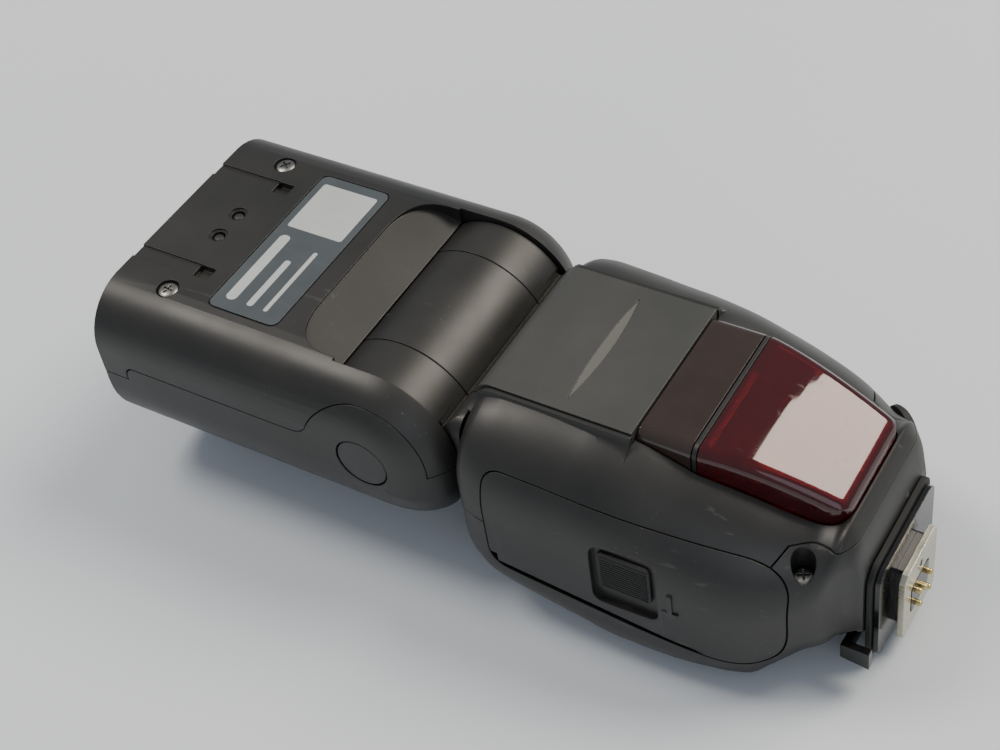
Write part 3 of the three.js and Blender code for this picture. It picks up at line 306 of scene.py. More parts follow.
def moulded_plastic(name, base, light, rough=(0.36, 0.5), grain=0.35, depth=0.022, scuffs=0.5, edge=0.3,
                    ior=1.53):
    """Moulded polycarbonate: spark-eroded grain of about 0.35 mm, slow shade drift, handling scuffs and dust."""
    material, tree, surface = new_material(name, IOR=ior)
    at = add(tree, "ShaderNodeTexCoord")
    spot = (at, "Object")
    texture = add(tree, "ShaderNodeTexNoise", Vector=spot, Scale=1000 / grain / 2, Detail=3.0, Roughness=0.6)
    drift = add(tree, "ShaderNodeTexNoise", Vector=spot, Scale=38.0, Detail=4.0, Roughness=0.55)
    stretch = add(tree, "ShaderNodeMapping", Vector=spot, Scale=(60, 420, 420), Rotation=(0.3, 0.5, 0.9))
    scratch = add(tree, "ShaderNodeTexNoise", Vector=(stretch, 0), Scale=1.0, Detail=2.0, Roughness=0.5)
    area = add(tree, "ShaderNodeTexNoise", Vector=spot, Scale=26.0, Detail=2.0)
    line = span(tree, (scratch, 0), 0.66, 0.74, 0, 1)
    patch = span(tree, (area, 0), 0.5, 0.68, 0, scuffs)
    worn = add(tree, "ShaderNodeMath", {"operation": "MULTIPLY"}, n0=(line, 0), n1=(patch, 0))
    specks = add(tree, "ShaderNodeTexVoronoi", {"feature": "F1"}, Vector=spot, Scale=620.0)
    dot = span(tree, (specks, 0), 0.05, 0.12, 1, 0)
    where = span(tree, (drift, 0), 0.56, 0.7, 0, 0.5)
    dust = add(tree, "ShaderNodeMath", {"operation": "MULTIPLY"}, n0=(dot, 0), n1=(where, 0))
    shade = ramp(tree, (drift, 0), [(0.3, base), (0.72, light)])
    mix = add(tree, "ShaderNodeMix", {"data_type": "RGBA"}, n0=(worn, 0), n6=(shade, 0), n7=colour("#6f6e69"))
    dusty = add(tree, "ShaderNodeMix", {"data_type": "RGBA"}, n0=(dust, 0), n6=(mix, 2), n7=colour("#8d8a82"))
    tree.links.new(dusty.outputs[2], surface.inputs["Base Color"])
    rough_node = span(tree, (drift, 0), 0.3, 0.75, *rough)
    rough_worn = add(tree, "ShaderNodeMath", {"operation": "ADD"}, n0=(rough_node, 0), n1=(worn, 0))
    tree.links.new(rough_worn.outputs[0], surface.inputs["Roughness"])
    round_edge = add(tree, "ShaderNodeBevel", {"samples": 4}, Radius=edge * MM)
    bump = add(tree, "ShaderNodeBump", Strength=0.5, Distance=depth * MM, Height=(texture, 0),
               Normal=(round_edge, 0))
    tree.links.new(bump.outputs[0], surface.inputs["Normal"])
    return material


def smooth_material(name, base, light, rough=(0.08, 0.16), scale=60.0, edge=0.25, **sockets):
    """A polished or satin surface with slow shade drift, faint hairline scratches and softly rounded edges."""
    material, tree, surface = new_material(name, **sockets)
    at = add(tree, "ShaderNodeTexCoord")
    spot = (at, "Object")
    drift = add(tree, "ShaderNodeTexNoise", Vector=spot, Scale=scale, Detail=4.0, Roughness=0.6)
    stretch = add(tree, "ShaderNodeMapping", Vector=spot, Scale=(50, 900, 900), Rotation=(0.2, 0.4, 1.1))
    hair = add(tree, "ShaderNodeTexNoise", Vector=(stretch, 0), Scale=1.0, Detail=1.0)
    line = span(tree, (hair, 0), 0.68, 0.72, 0, 1)
    shade = ramp(tree, (drift, 0), [(0.3, base), (0.75, light)])
    tree.links.new(shade.outputs[0], surface.inputs["Base Color"])
    dull = span(tree, (drift, 0), 0.3, 0.75, *rough)
    dull = add(tree, "ShaderNodeMath", {"operation": "MULTIPLY_ADD"}, n0=(line, 0), n1=0.12, n2=(dull, 0))
    tree.links.new(dull.outputs[0], surface.inputs["Roughness"])
    round_edge = add(tree, "ShaderNodeBevel", {"samples": 4}, Radius=edge * MM)
    tree.links.new(round_edge.outputs[0], surface.inputs["Normal"])
    return material


SHELL = moulded_plastic("moulded_polycarbonate_charcoal", "#1c1c1b", "#242321")
KEY = moulded_plastic("satin_abs_black_keys", "#222222", "#2a2a29", rough=(0.4, 0.5), scuffs=0.25, depth=0.01)
TRIM = moulded_plastic("satin_painted_trim_grey", "#383938", "#40403e", rough=(0.36, 0.46), grain=0.2, depth=0.006,
                       scuffs=0.3)
RUBBER = moulded_plastic("moulded_rubber_black", "#1a1a1a", "#232322", rough=(0.6, 0.75), depth=0.012, scuffs=0.2,
                         ior=1.52)
INNER = moulded_plastic("plain_inner_moulding", "#191919", "#202020", rough=(0.5, 0.6), scuffs=0.0)
GLOSS = smooth_material("polished_abs_black", "#121212", "#1a1a1a", rough=(0.12, 0.24), IOR=1.54)
SMOKE = smooth_material("smoked_acrylic_filter", "#2a201d", "#332723", rough=(0.03, 0.08), IOR=1.49,
                        Coat_Weight=0.3, Coat_Roughness=0.03)
RED = smooth_material("deep_red_acrylic_filter", "#7a0c18", "#8a101c", rough=(0.02, 0.06), IOR=1.49,
                      Transmission_Weight=0.85, Coat_Weight=0.3, Coat_Roughness=0.03)
LAMP = smooth_material("red_lamp_lens", "#d8403c", "#e2504a", rough=(0.1, 0.2), IOR=1.49)
DISPLAY = smooth_material("display_cover_acrylic", "#3b4238", "#454d40", rough=(0.04, 0.1), IOR=1.49)
LABEL = smooth_material("printed_polyester_label", "#3f454a", "#484e52", rough=(0.38, 0.46), IOR=1.5)
PRINT = smooth_material("pale_label_ink", "#a9adae", "#b6b9b8", rough=(0.42, 0.5), IOR=1.5)
PLATE = smooth_material("nickel_plated_foot", "#c3bda9", "#d6d1c0", rough=(0.2, 0.34), scale=140.0, Metallic=1.0)
STEEL = smooth_material("zinc_plated_steel", "#7d7c78", "#908f8a", rough=(0.28, 0.42), scale=180.0, Metallic=1.0)
GILT = smooth_material("gilded_contact", "#c2ae74", "#d5c48d", rough=(0.18, 0.3), scale=160.0, Metallic=1.0)
BRIGHT = smooth_material("metallised_reflector", "#dfe0df", "#ecedec", rough=(0.05, 0.12), Metallic=1.0)
CLEAR = smooth_material("ribbed_clear_acrylic", "#e4e8e6", "#f0f2f0", rough=(0.08, 0.18), IOR=1.49,
                        Transmission_Weight=0.75)
TUBE = smooth_material("quartz_flash_tube", "#e8efe9", "#f4f8f4", rough=(0.02, 0.06), IOR=1.46,
                       Transmission_Weight=0.9)
CARD = smooth_material("white_abs_card", "#dcd9d0", "#e6e3db", rough=(0.35, 0.45), IOR=1.53)
BOARD = smooth_material("green_solder_mask", "#1c4a30", "#24583a", rough=(0.3, 0.45), scale=300.0, IOR=1.5)
SLEEVE = smooth_material("shrink_sleeve_blue_black", "#22263c", "#2c3150", rough=(0.25, 0.4), IOR=1.5)
CELL = smooth_material("printed_cell_sleeve", "#8a7746", "#a08b54", rough=(0.25, 0.4), Metallic=0.6)


# ---- the body's outer form ----
def station(x):
    """The body's five section sizes at x: a smooth monotone curve through the stations, on an array of x."""
    x = np.asarray(x, dtype=float)
    knots, values = STATIONS[:, 0], STATIONS[:, 1:]
    step = np.diff(knots)[:, None]
    slope = np.diff(values, axis=0) / step
    before, after = slope[:-1], slope[1:]
    total = np.where(before + after == 0, 1, before + after)
    inner = np.where(before * after > 0, 2 * before * after / total, 0)
    tangent = np.vstack([slope[:1], inner, slope[-1:]])
    i = np.clip(np.searchsorted(knots, x, side="right") - 1, 0, len(knots) - 2)
    h = (knots[i + 1] - knots[i])[:, None]
    t = ((x - knots[i])[:, None]) / h
    return ((2 * t**3 - 3 * t**2 + 1) * values[i] + (t**3 - 2 * t**2 + t) * h * tangent[i]
            + (-2 * t**3 + 3 * t**2) * values[i + 1] + (t**3 - t**2) * h * tangent[i + 1])


def body_rings(xs, inset=0.0, steps=16):
    """Rings of the body at each x: two shoulder and two back corners, each a quarter circle, moved in by inset."""
    half, top, top_r, back, back_r = station(xs).T
    turn = np.linspace(0, np.pi / 2, steps + 1)
    rings = []
    for side_y, side_z, start in ((1, 1, 0), (-1, 1, 1), (-1, -1, 2), (1, -1, 3)):
        r = top_r if side_z > 0 else back_r
        y = side_y * (half - r)
        z = top - r if side_z > 0 else back + r
        angle = turn + start * np.pi / 2
        reach = np.maximum(r - inset, 1.0)[:, None]
        along = np.broadcast_to(xs[:, None], (len(xs), steps + 1))
        across, height = y[:, None] + reach * np.cos(angle), z[:, None] + reach * np.sin(angle)
        rings.append(np.stack([along, across, height], axis=-1))
    return np.concatenate(rings, axis=1)


def body_form():
    """The outside of the body, lofted at close stations."""
    ends = np.linspace(3, 7, 14), np.linspace(78, 94.5, 34)
    xs = np.unique(np.concatenate([ends[0], np.linspace(7, 78, 58), ends[1]]))
    return loft(body_rings(xs))


def body_hollow():
    """The space inside the body's wall, with its first ring moved in to leave an end wall."""
    xs = np.linspace(7, 89.8, 50)
    rings = body_rings(xs, WALL)
    rings[0, :, 0] = 8.4
    return loft(rings)


def window_top(x):
    """The front line over the windows: level, then falling by 9.2 mm t^1.6, with t from 0 to 1 past the break."""
    x = np.asarray(x, dtype=float)
    return FLAT - 0.1 - WINDOW_FALL * np.maximum(0, (x - WINDOW_BREAK) / (WINDOW_X[1] - WINDOW_BREAK)) ** 1.6


def window_half(x, grow):
    """Half the windows' width: 20 mm, then narrowing in a straight line past the break."""
    x = np.asarray(x, dtype=float)
    return 20 + grow - WINDOW_NARROWING * np.maximum(0, (x - WINDOW_BREAK) / (WINDOW_X[1] - WINDOW_BREAK))


def window_plan(x0, x1, grow):
    """The windows from above: straight, then tapering, with round corners at the foot end."""
    if x1 < WINDOW_X[1] - 1:
        side = [(x0, -window_half(x0, grow)), (x1, -window_half(x1, grow))]
    else:
        first = max(x0 + 0.1, WINDOW_BREAK)
        side = [(x0, -window_half(x0, grow)), (first, -window_half(first, grow)),
                *bend((x1 - 4.5, -window_half(x1 - 4.5, grow)), (x1, -window_half(x1, grow)),
                      (x1, 4.5 - window_half(x1, grow)))]
    side = np.array([(float(a), float(b)) for a, b in side])
    return np.vstack([side, side[::-1] * (1, -1)])


def window_block(x0, x1, grow, low, inset, steps=40):
    """A window's solid: its plan raised from the tray to the falling front line."""
    xs = np.linspace(x0, x1, steps)
    profile = np.vstack([[(x0, low)], [(x1, low)], np.column_stack([xs, window_top(xs) - inset])[::-1]])
    return keep(prism("z", window_plan(x0, x1, grow), 35, 75), prism("y", profile, -26, 26))


def window_crown(x0, x1, inset):
    """Sections across the windows with round upper corners, rolling down in a quarter circle at the foot end."""
    roll = CROWN_ROLL
    rolled = x1 - roll + roll * np.sin(np.linspace(0.15, 1.45, 9))
    xs = np.concatenate([np.linspace(x0 - 1, x1 - roll, 24), rolled, [x1 + 1]])
    past = np.clip(xs - x1 + roll, 0, roll) * (x1 > WINDOW_X[1] - 1)
    half = window_half(np.minimum(xs, x1), -0.3) - inset
    top = window_top(np.minimum(xs, x1)) - inset - roll + np.sqrt(roll**2 - past**2)
    r = CROWN_R - inset
    turn = np.linspace(0, np.pi / 2, 10)
    y = (half - r)[:, None] + r * np.cos(turn)
    z = (top - r)[:, None] + r * np.sin(turn)
    across = np.concatenate([-half[:, None], half[:, None], y, -y[:, ::-1]], axis=1)
    height = np.concatenate([np.full((len(xs), 2), 34), z, z[:, ::-1]], axis=1)
    return loft(np.stack([np.broadcast_to(xs[:, None], across.shape), across, height], axis=-1))


def door_region(grow):
    """The battery door's outline carried inwards on a slope of 0.62 down per mm, the way its edges lean."""
    left, right = DOOR_X[0] - grow, DOOR_X[1] + grow
    outline = np.vstack([
        bend((left + 5, 50.35 + grow), (left, 50.6 + grow), (left, 45)),
        bend((left, 25), (left, 19.9 - grow), (left + 5, 19.3 - grow)),
        [(66, 13.8 - grow)],
        bend((70, 13.7 - grow), (right, 14.2 - grow), (right, 27)),
        bend((right, 37), (right, 46.3 + grow), (right - 10, 47.3 + grow)),
        bend((right - 12, 47.45 + grow), (40, 48.9 + grow), (left + 8, 50.3 + grow), 8)[:-1],
    ])
    region = prism("y", outline, -45, -24)
    lean = Matrix(((1, 0, 0, 0), (0, 1, 0, 0), (0, -DOOR_SLOPE, 1, -DOOR_SLOPE * HALF_WIDTH), (0, 0, 0, 1)))
    return moved(region, lean)


FRONT_SIDE = [(-5, PARTING_Z), (77, PARTING_Z), (77, 38.5), (79.5, 42), (SEAM_X, 42), (SEAM_X, 75), (-5, 75)]
CAP_SEAT = Matrix.Translation((86, 27.8, 31)) @ Matrix.Rotation(-0.7, 4, "Z")
DIAL = (66.0, 12.0, 6.4)
SCREW_AT = (83.5, -23.9)
SCREW_TOP = 35.6
BACK_SLOPE = math.atan2(8, 35)
LCD_SEAT = Matrix.Translation((26.6, 0, 17.4 * 8 / 35 - 0.35)) @ Matrix.Rotation(BACK_SLOPE, 4, "Y")
KEYS = [(f"function_button_{i + 1}", 48.6, y, 8.6, 3.8) for i, y in enumerate((-18, -6, 6, 18))] + [
    ("mode_button", 60, 22, 7.6, 7.6), ("wireless_button", 60, -22, 7.6, 7.6),
    ("test_button", 70, -21.5, 6.6, 6.6)]
POWER = (70.5, 19.5)


def key_outline(x, y, long, wide, grow=0.0):
    """A round-ended key: long across the flash, wide along it."""
    a, b = wide / 2 + grow, long / 2 + grow
    return rounded(x - a, x + a, y - b, y + b, min(a, b) - 0.02)


def trim_side(start, top, low, back):
    """The trim from the side: flat, then rolled over at the neck end."""
    rolled = arc(start + TRIM_ROLL, top - TRIM_ROLL, TRIM_ROLL, 90, 180, 24)
    return np.vstack([[(back, low), (back, top)], rolled, [(start, low)]])


def trim_plinth():
    """A low rim whose hollow sides bring the body up to the edge of the trim."""
    top = FLAT - 0.4
    side = bend((26, 53.4), (22.6, 55.2), (22.0, top), 8)
    section = np.vstack([side, side[::-1] * (-1, 1)])
    profile = trim_side(TRIM_END + 0.6, top, 50, WINDOW_X[0] - 0.3)
    return keep(prism("x", section, 0, WINDOW_X[0]), prism("y", profile, -30, 30))


def make_body():
    """The front and rear shells and the battery door, all cut from one hollow form by the lines between them."""
    form = body_form()
    wall = cut(copy(form), body_hollow())
    tray = keep(join(prism("z", window_plan(WINDOW_X[0] - 2, WINDOW_X[1] + 1.6, 1.8), 43.2, 62),
                     prism("z", window_plan(75.8, WINDOW_X[1] + 1.6, 1.8), 39.7, 62)), copy(form))
    pocket = join(window_block(WINDOW_X[0] - 0.3, WINDOW_X[1] + 0.25, 0.05, 44.5, -8),
                  keep(prism("z", window_plan(77, WINDOW_X[1] + 0.25, 0.05), 35, 75),
                       box(77, 95, -26, 26, 41, 70)))
    bore = join(disc("x", (0, 0, SWIVEL_Z), 12.5, 0, 14), disc("x", (0, 0, SWIVEL_Z), 18.4, 0, 6.2))
    cap_seat = moved(disc("y", (0, 0, 0), 6.3, -2.1, 12), CAP_SEAT)
    divider = keep(box(*DIVIDER_X, -19.6, 19.6, 43.5, FLAT), window_crown(*DIVIDER_X, 0.1))
    front = cut(join(copy(wall), tray, trim_plinth()), copy(pocket))
    front = keep(join(front, divider), prism("y", FRONT_SIDE, -50, 50))
    seat = TRIM_HALF + 0.3
    cut(front, box(0, 42.6, -seat, seat, 54.6, 75), box(0, 5.1, -seat, seat, 51.2, 75), door_region(0.35),
        copy(bore), copy(cap_seat))
    place(front, "body_front", "casing", SHELL, "shell_black", "body_front_shell")

    boss = keep(disc("z", (*SCREW_AT, 0), 3.9, 22, 46), copy(form))
    cap_boss = keep(moved(disc("y", (0, 0, 0), 7.6, -4.4, 5), CAP_SEAT), copy(form))
    foot_wall = keep(box(89.5, 94.4, -20, 20, 13, 40), copy(form))
    gap = np.array(FRONT_SIDE) + np.array([(0, -0.3), *[(0.3, -0.3)] * 4, (0.3, 0), (0, 0)])
    rear = join(copy(wall), boss, cap_boss, foot_wall, disc("z", (DIAL[0], 0, 0), DIAL[1] + 2, 0.4, 5.6))
    cut(rear, prism("y", gap, -50, 50), pocket, door_region(0.35), bore, cap_seat,
        moved(disc("y", (0, 0, 0), 4.1, -9, 5), CAP_SEAT),
        disc("z", (*SCREW_AT, 0), 2.7, SCREW_TOP - 1.7, 60, steps=40),
        disc("z", (*SCREW_AT, 0), 1.5, 20, 60, steps=24),
        disc("z", (DIAL[0], 0, 0), DIAL[1] + 0.4, -1, 4, steps=96),
        disc("z", (DIAL[0], 0, 0), DIAL[2] - 0.1, -1, 8),
        *[prism("z", key_outline(*spec[1:], 0.35), -1, 6) for spec in KEYS],
        prism("z", rounded(POWER[0] - 3.2, POWER[0] + 3.2, POWER[1] - 7.4, POWER[1] + 7.4, 2.4), -1, 1.1),
        box(POWER[0] - 1.6, POWER[0] + 1.6, POWER[1] - 5.2, POWER[1] + 5.2, -1, 6),
        moved(prism("z", rounded(-13.3, 13.3, -23.3, 23.3, 1.8), -6, 1.9), LCD_SEAT),
        moved(box(-10, 10, -20, 20, -6, 8), LCD_SEAT),
        disc("x", (0, 0, FOOT_Z), 9.2, 80, 100), disc("x", (0, 0, FOOT_Z), 13.3, 90.6, 93.4),
        box(86.5, 99, -13.4, 13.4, -1, 15.4), box(90.6, 93.4, -24, -10, -1, 14.6),
        box(90.6, 99, -24, -19, -1, 12.6))
    place(rear, "body_rear", "casing", SHELL, "shell_black", "body_rear_shell")

    corner = cut(box(-6, 56, -45, 0, -6, 0), disc("x", (0, 0, 0), 1.35, -7, 57, steps=40))
    moved(corner, Matrix.Translation(DOOR_AXIS) @ Matrix.Rotation(DOOR_AXIS_LEAN, 4, "Y"))
    door = cut(keep(wall, door_region(0)), corner, box(DOOR_X[0] - 1, DOOR_X[0] + 2, -45, -36.4, 19, 22.8),
               prism("y", rounded(39.4, 55.6, 20.4, 38.6, 2.4), -45, -37.35),
               prism("y", rounded(43.2, 51.8, 24.2, 34.8, 0.8), -45, -30))
    place(door, "door_skin", "battery_door", SHELL, "shell_black", "battery_door")
    arrow = [(58.6, 22.6), (60.6, 25.4), (59.2, 25.4), (59.2, 31), (58, 31), (58, 25.4), (56.6, 25.4)]
    place(prism("y", arrow, -38.75, -37.2), "door_arrow", "battery_door", KEY, "key_black")
    bpy.data.objects.remove(form)


make_body()


# ---- the body's fittings ----
def make_windows():
    """The two filters are hollow covers 1.8 mm thick, flush with the trim and falling towards the foot."""
    spans = [("sensor_filter", WINDOW_X[0], DIVIDER_X[0] - 0.3, SMOKE, "window_smoke", "sensor_window"),
             ("assist_filter", DIVIDER_X[1] + 0.3, WINDOW_X[1], RED, "window_red", "af_assist_window")]
    for name, x0, x1, material, slot, node in spans:
        outer = window_block(x0, x1, -0.3, 44.8, 0)
        if x1 > 77:
            skirt = keep(prism("z", window_plan(x0, x1, -0.3), 35, 48), box(77.6, x1 + 1, -26, 26, 41.3, 48))
            outer = join(outer, skirt)
        keep(outer, window_crown(x0, x1, 0))
        inside = x0 + FILTER_WALL, x1 - FILTER_WALL
        inner = keep(window_block(*inside, -0.3 - FILTER_WALL, 38, FILTER_WALL),
                     window_crown(*inside, FILTER_WALL))
        place(cut(outer, inner), name, "casing", material, slot, node)
    for side, node in ((-1, "af_lamp_near"), (1, "af_lamp_far")):
        profile = [(44.8, 4.6), (47, 4.6), (47, 3.7), (48.6, 3.7), (49.3, 2.9), (49.6, 1.5)]
        place(lathe("z", (67.5, side * 8.4, 0), profile), f"{node}_lens", "casing", LAMP, "lamp_red", node)


def make_trim():
    """The grey trim rolls down over the neck end. Its crescent thumb groove deepens from 0 to 0.9 mm along X."""
    inside = [(TRIM_END + 1.7, 50), (TRIM_END + 1.7, 51.6), (TRIM_END + 2.3, 55), (60, 55), (60, 50)]
    profile = trim_side(TRIM_END, FLAT, 51.6, 42.3)
    panel = cut(prism("y", profile, -TRIM_HALF, TRIM_HALF), prism("y", inside, -30, 30))
    crescent = keep(disc("z", (26.3 - 91, 0, 0), 91, 50, 70, steps=720),
                    disc("z", (23.6 + 153, 0, 0), 153, 50, 70, steps=1200))
    floor = prism("y", [(23.3, FLAT + 0.05), (26.6, FLAT - 0.9), (26.6, 62), (23.3, 62)], -30, 30)
    place(cut(panel, keep(crescent, floor)), "trim_panel", "casing", TRIM, "trim_grey", "front_trim_panel")


def screw_body(radius, head, shank, length):
    """A pan-head screw with a cross recess, its head's top at z = 0."""
    body = lathe("z", (0, 0, 0), [(-length, shank), (-head, shank), (-head, radius), (-0.45, radius),
                                  (-0.12, radius * 0.8), (0, radius * 0.45)], 48)
    arm = radius * 0.6
    return cut(body, box(-arm, arm, -0.26, 0.26, -0.9, 1), box(-0.26, 0.26, -arm, arm, -0.9, 1))


def make_screws():
    """One screw in the body's deep recess and two in the head, each turned to an angle of its own."""
    x, y = HEAD_SCREW
    spots = [("shell_screw", (*SCREW_AT, SCREW_TOP), (2.3, 1.6, 1.15, 9), "casing"),
             ("head_screw_1", (x, -y, 57.9), (2.5, 1.2, 1.2, 5.8), "head"),
             ("head_screw_2", (x, y, 57.9), (2.5, 1.2, 1.2, 5.8), "head")]
    for i, (node, at, sizes, body) in enumerate(spots):
        turn = Matrix.Translation(at) @ Matrix.Rotation(0.5 + i, 4, "Z")
        place(moved(screw_body(*sizes), turn), f"{node}_steel", body, STEEL, "screw_steel", node)


def make_latch():
    """The ribbed thumb slide of the battery door: fine ribs 0.8 mm apart across a shallow pad."""
    pad = prism("y", rounded(41, 54, 25, 37, 1.4), -38.3, -37.65)
    ribs = [box(41.8, 53.2, -38.62, -38.2, z - 0.2, z + 0.2) for z in np.arange(26, 36.4, 0.8)]
    slide = join(pad, box(43.7, 51.3, -37.9, -35.2, 27.6, 34.4), box(42, 53, -35.4, -33.9, 26, 36), *ribs)
    place(slide, "latch_slide", "door_latch", RUBBER, "rubber_black", "door_latch")


def make_socket_cap():
    """A round rubber cover with a raised middle and a finger lip, on the body's far corner."""
    profile = [(-6, 3.8), (-1.8, 3.8), (-1.8, 6), (-0.8, 6), (-0.4, 5.7), (-0.4, 5.2), (0.1, 5.1), (0.3, 4.7)]
    cap = moved(lathe("y", (0, 0, 0), profile), CAP_SEAT)
    place(cap, "socket_cover", "socket_cap", RUBBER, "rubber_black", "socket_cap")


def make_controls():
    """The back's keys, the knurled dial with its middle key, the power slider and the display's cover."""
    for node, x, y, long, wide in KEYS:
        cap = join(prism("z", key_outline(x, y, long, wide), 0.3, 3.2),
                   prism("z", key_outline(x, y, long + 1.8, wide + 1.8), 2.6, 3.6))
        if long == wide:
            cap = cut(cap, disc("z", (x, y, 0), long * 0.3, 0, 0.5, steps=40))
        place(cap, f"{node}_cap", node, KEY, "key_black", node)
    x, radius, hub = DIAL
    angle = np.linspace(0, 2 * np.pi, 480, endpoint=False)
    reach = radius - 0.42 * np.clip(np.cos(angle * 40), 0, 1) ** 2
    ring = prism("z", np.column_stack([x + reach * np.cos(angle), reach * np.sin(angle)]), 0.3, 3.6)
    groove = cut(disc("z", (x, 0, 0), 10.4, 0, 0.7), disc("z", (x, 0, 0), 8.2, -1, 3))
    ring = cut(ring, disc("z", (x, 0, 0), hub + 0.3, 0, 5), groove)
    place(ring, "dial_ring", "select_dial", KEY, "key_black", "select_dial")
    button = join(disc("z", (x, 0, 0), hub - 0.5, 0.5, 6.4, 0.5), disc("z", (x, 0, 0), hub + 1, 6.2, 7.2))
    place(button, "set_key", "set_button", TRIM, "trim_grey", "set_button")
    px, py = POWER
    slider = join(prism("z", rounded(px - 2.8, px + 2.8, py - 3.6, py + 3.6, 1.4), 0.3, 0.95),
                  *[box(px - 2, px + 2, py + d - 0.3, py + d + 0.3, 0.1, 0.6) for d in (-1.8, -0.6, 0.6, 1.8)],
                  box(px - 1.2, px + 1.2, py - 1.6, py + 1.6, 0.6, 3),
                  box(px - 2.6, px + 2.6, py - 2.4, py + 2.4, 2.6, 3.6))
    place(slider, "power_slider", "power_switch", KEY, "key_black", "power_switch")
    cover = moved(prism("z", rounded(-13, 13, -23, 23, 1.5), 0, 1.4), LCD_SEAT)
    place(cover, "display_cover", "casing", DISPLAY, "display_window", "lcd_window")


def make_foot():
    """The foot: a gasket, a glossy base in two steps, the bright plate with its pins, and the lock lever."""
    base = join(disc("x", (0, 0, FOOT_Z), 8.8, 84.5, 96.6),
                prism("x", rounded(-15.5, 15.5, 2.4, 31.4, 3.5), 96.2, 97.4),
                prism("x", rounded(-6.6, 6.6, FOOT_Z - 9.2, FOOT_Z + 9.2, 1), 97.2, 98.95),
                box(86.8, 90.3, -12.6, 12.6, 7.6, 13.6))
    cut(base, box(95.4, 99, -5.3, 5.3, FOOT_Z - 6.3, FOOT_Z + 3.3),
        disc("x", (0, 0, FOOT_Z + 6), 1.25, 92, 99, steps=32), disc("z", (88.5, 6, 0), 1.75, 5, 11.6, steps=32))
    place(base, "foot_mount", "casing", GLOSS, "foot_gloss", "foot_base")
    gasket = cut(prism("x", rounded(-16.6, 16.6, 2, 33, 4.5), 94.8, 95.9), disc("x", (0, 0, FOOT_Z), 9.2, 90, 99))
    place(gasket, "foot_seal", "casing", RUBBER, "rubber_black", "foot_gasket")
    low, high = FOOT_Z - 10.5, FOOT_Z + 10.5
    outline = [(-9.3, low + 0.6), (-8.7, low), (8.7, low), (9.3, low + 0.6),
               (9.3, high - 1.6), (7.7, high), (-7.7, high), (-9.3, high - 1.6)]
    plate = cut(prism("x", outline, 99.3, FOOT_X),
                prism("x", rounded(-5.2, 5.2, FOOT_Z - 6.2, FOOT_Z + 3.2, 1.5), 98, 102),
                disc("x", (0, 0, FOOT_Z + 6), 1.25, 98, 102, steps=32))
    place(plate, "foot_shoe", "casing", PLATE, "foot_nickel", "foot_plate")
    pins = prism("x", rounded(-4.9, 4.9, FOOT_Z - 5.9, FOOT_Z + 2.9, 1.3), 95.8, 100.8)
    place(pins, "pin_insulator", "casing", GLOSS, "foot_gloss", "contact_pins")
    for i, (y, z) in enumerate(((0, -1.5), (-3, 0.6), (3, 0.6), (-2.6, -4.4), (2.6, -4.4))):
        pin = disc("x", (0, y, FOOT_Z + z), 0.72, 100.2, 102.5, 0.5, 24)
        place(pin, f"pin_{i + 1}", "casing", GILT, "contact_gilt")
    hub = cut(disc("x", (0, 0, FOOT_Z), 12.6, 91, 93), disc("x", (0, 0, FOOT_Z), 9.1, 90, 94))
    tab = prism("y", [(91, 7.6), (97.8, 6.6), (97.8, 11.9), (91, 11.9)], -21.6, -19.8)
    lever = join(hub, box(91, 93, -21.4, -10.4, 8.2, 11.6), tab)
    place(lever, "lever", "lock_lever", GLOSS, "foot_gloss", "lock_lever")
    release = disc("z", (88.5, 6, 0), 1.4, 7.1, 9.8, 0.3, 32)
    place(release, "release_key", "lock_release", TRIM, "trim_grey", "lock_release_button")


def make_neck():
    """The barrel: a drum with a block under it, in three segments with 0.3 mm seams, on a round swivel disc."""
    around = arc(*TILT, BARREL_R, *BARREL_ARC, 96)
    start, top = BLOCK_EDGE, BLOCK_TOP
    outline = np.vstack([bend((1, top), (start, top), around[0], 8), around, [(1, around[-1, 1])]])
    for node, y0, y1 in (("neck_core", -16.3, 16.3), ("neck_cover_near", -27.9, -16.6),
                         ("neck_cover_far", 16.6, 27.9)):
        drum = cut(prism("y", outline, y0, y1), disc("y", (TILT[0], 0, TILT[1]), 3.3, -50, 50))
        for side in (-1, 1):
            square = box(start - 3, 2, *sorted((side * 22.9, side * 28.9)), top - 5, top + 1)
            cut(drum, cut(square, disc("x", (0, side * 22.9, top - 5), 5, -9, 3)))
        place(drum, f"{node}_barrel", "neck", SHELL, "shell_black", node)
    ring = join(disc("x", (0, 0, SWIVEL_Z), 18, 1.3, 5.9, 0.4, 96), disc("x", (0, 0, SWIVEL_Z), 12, 5.7, 12.6))
    cut(ring, disc("x", (0, 0, SWIVEL_Z), 8, 0, 15))
    place(ring, "swivel_ring", "neck", SHELL, "shell_black", "swivel_disc")


# ---- the head ----
HEAD_X, HEAD_LOW, ARM_IN = -97.5, 11.5, 28.4
TOP_EDGE_R, BOTTOM_EDGE_R, ARM_CORNER_R = 14, 21, 18


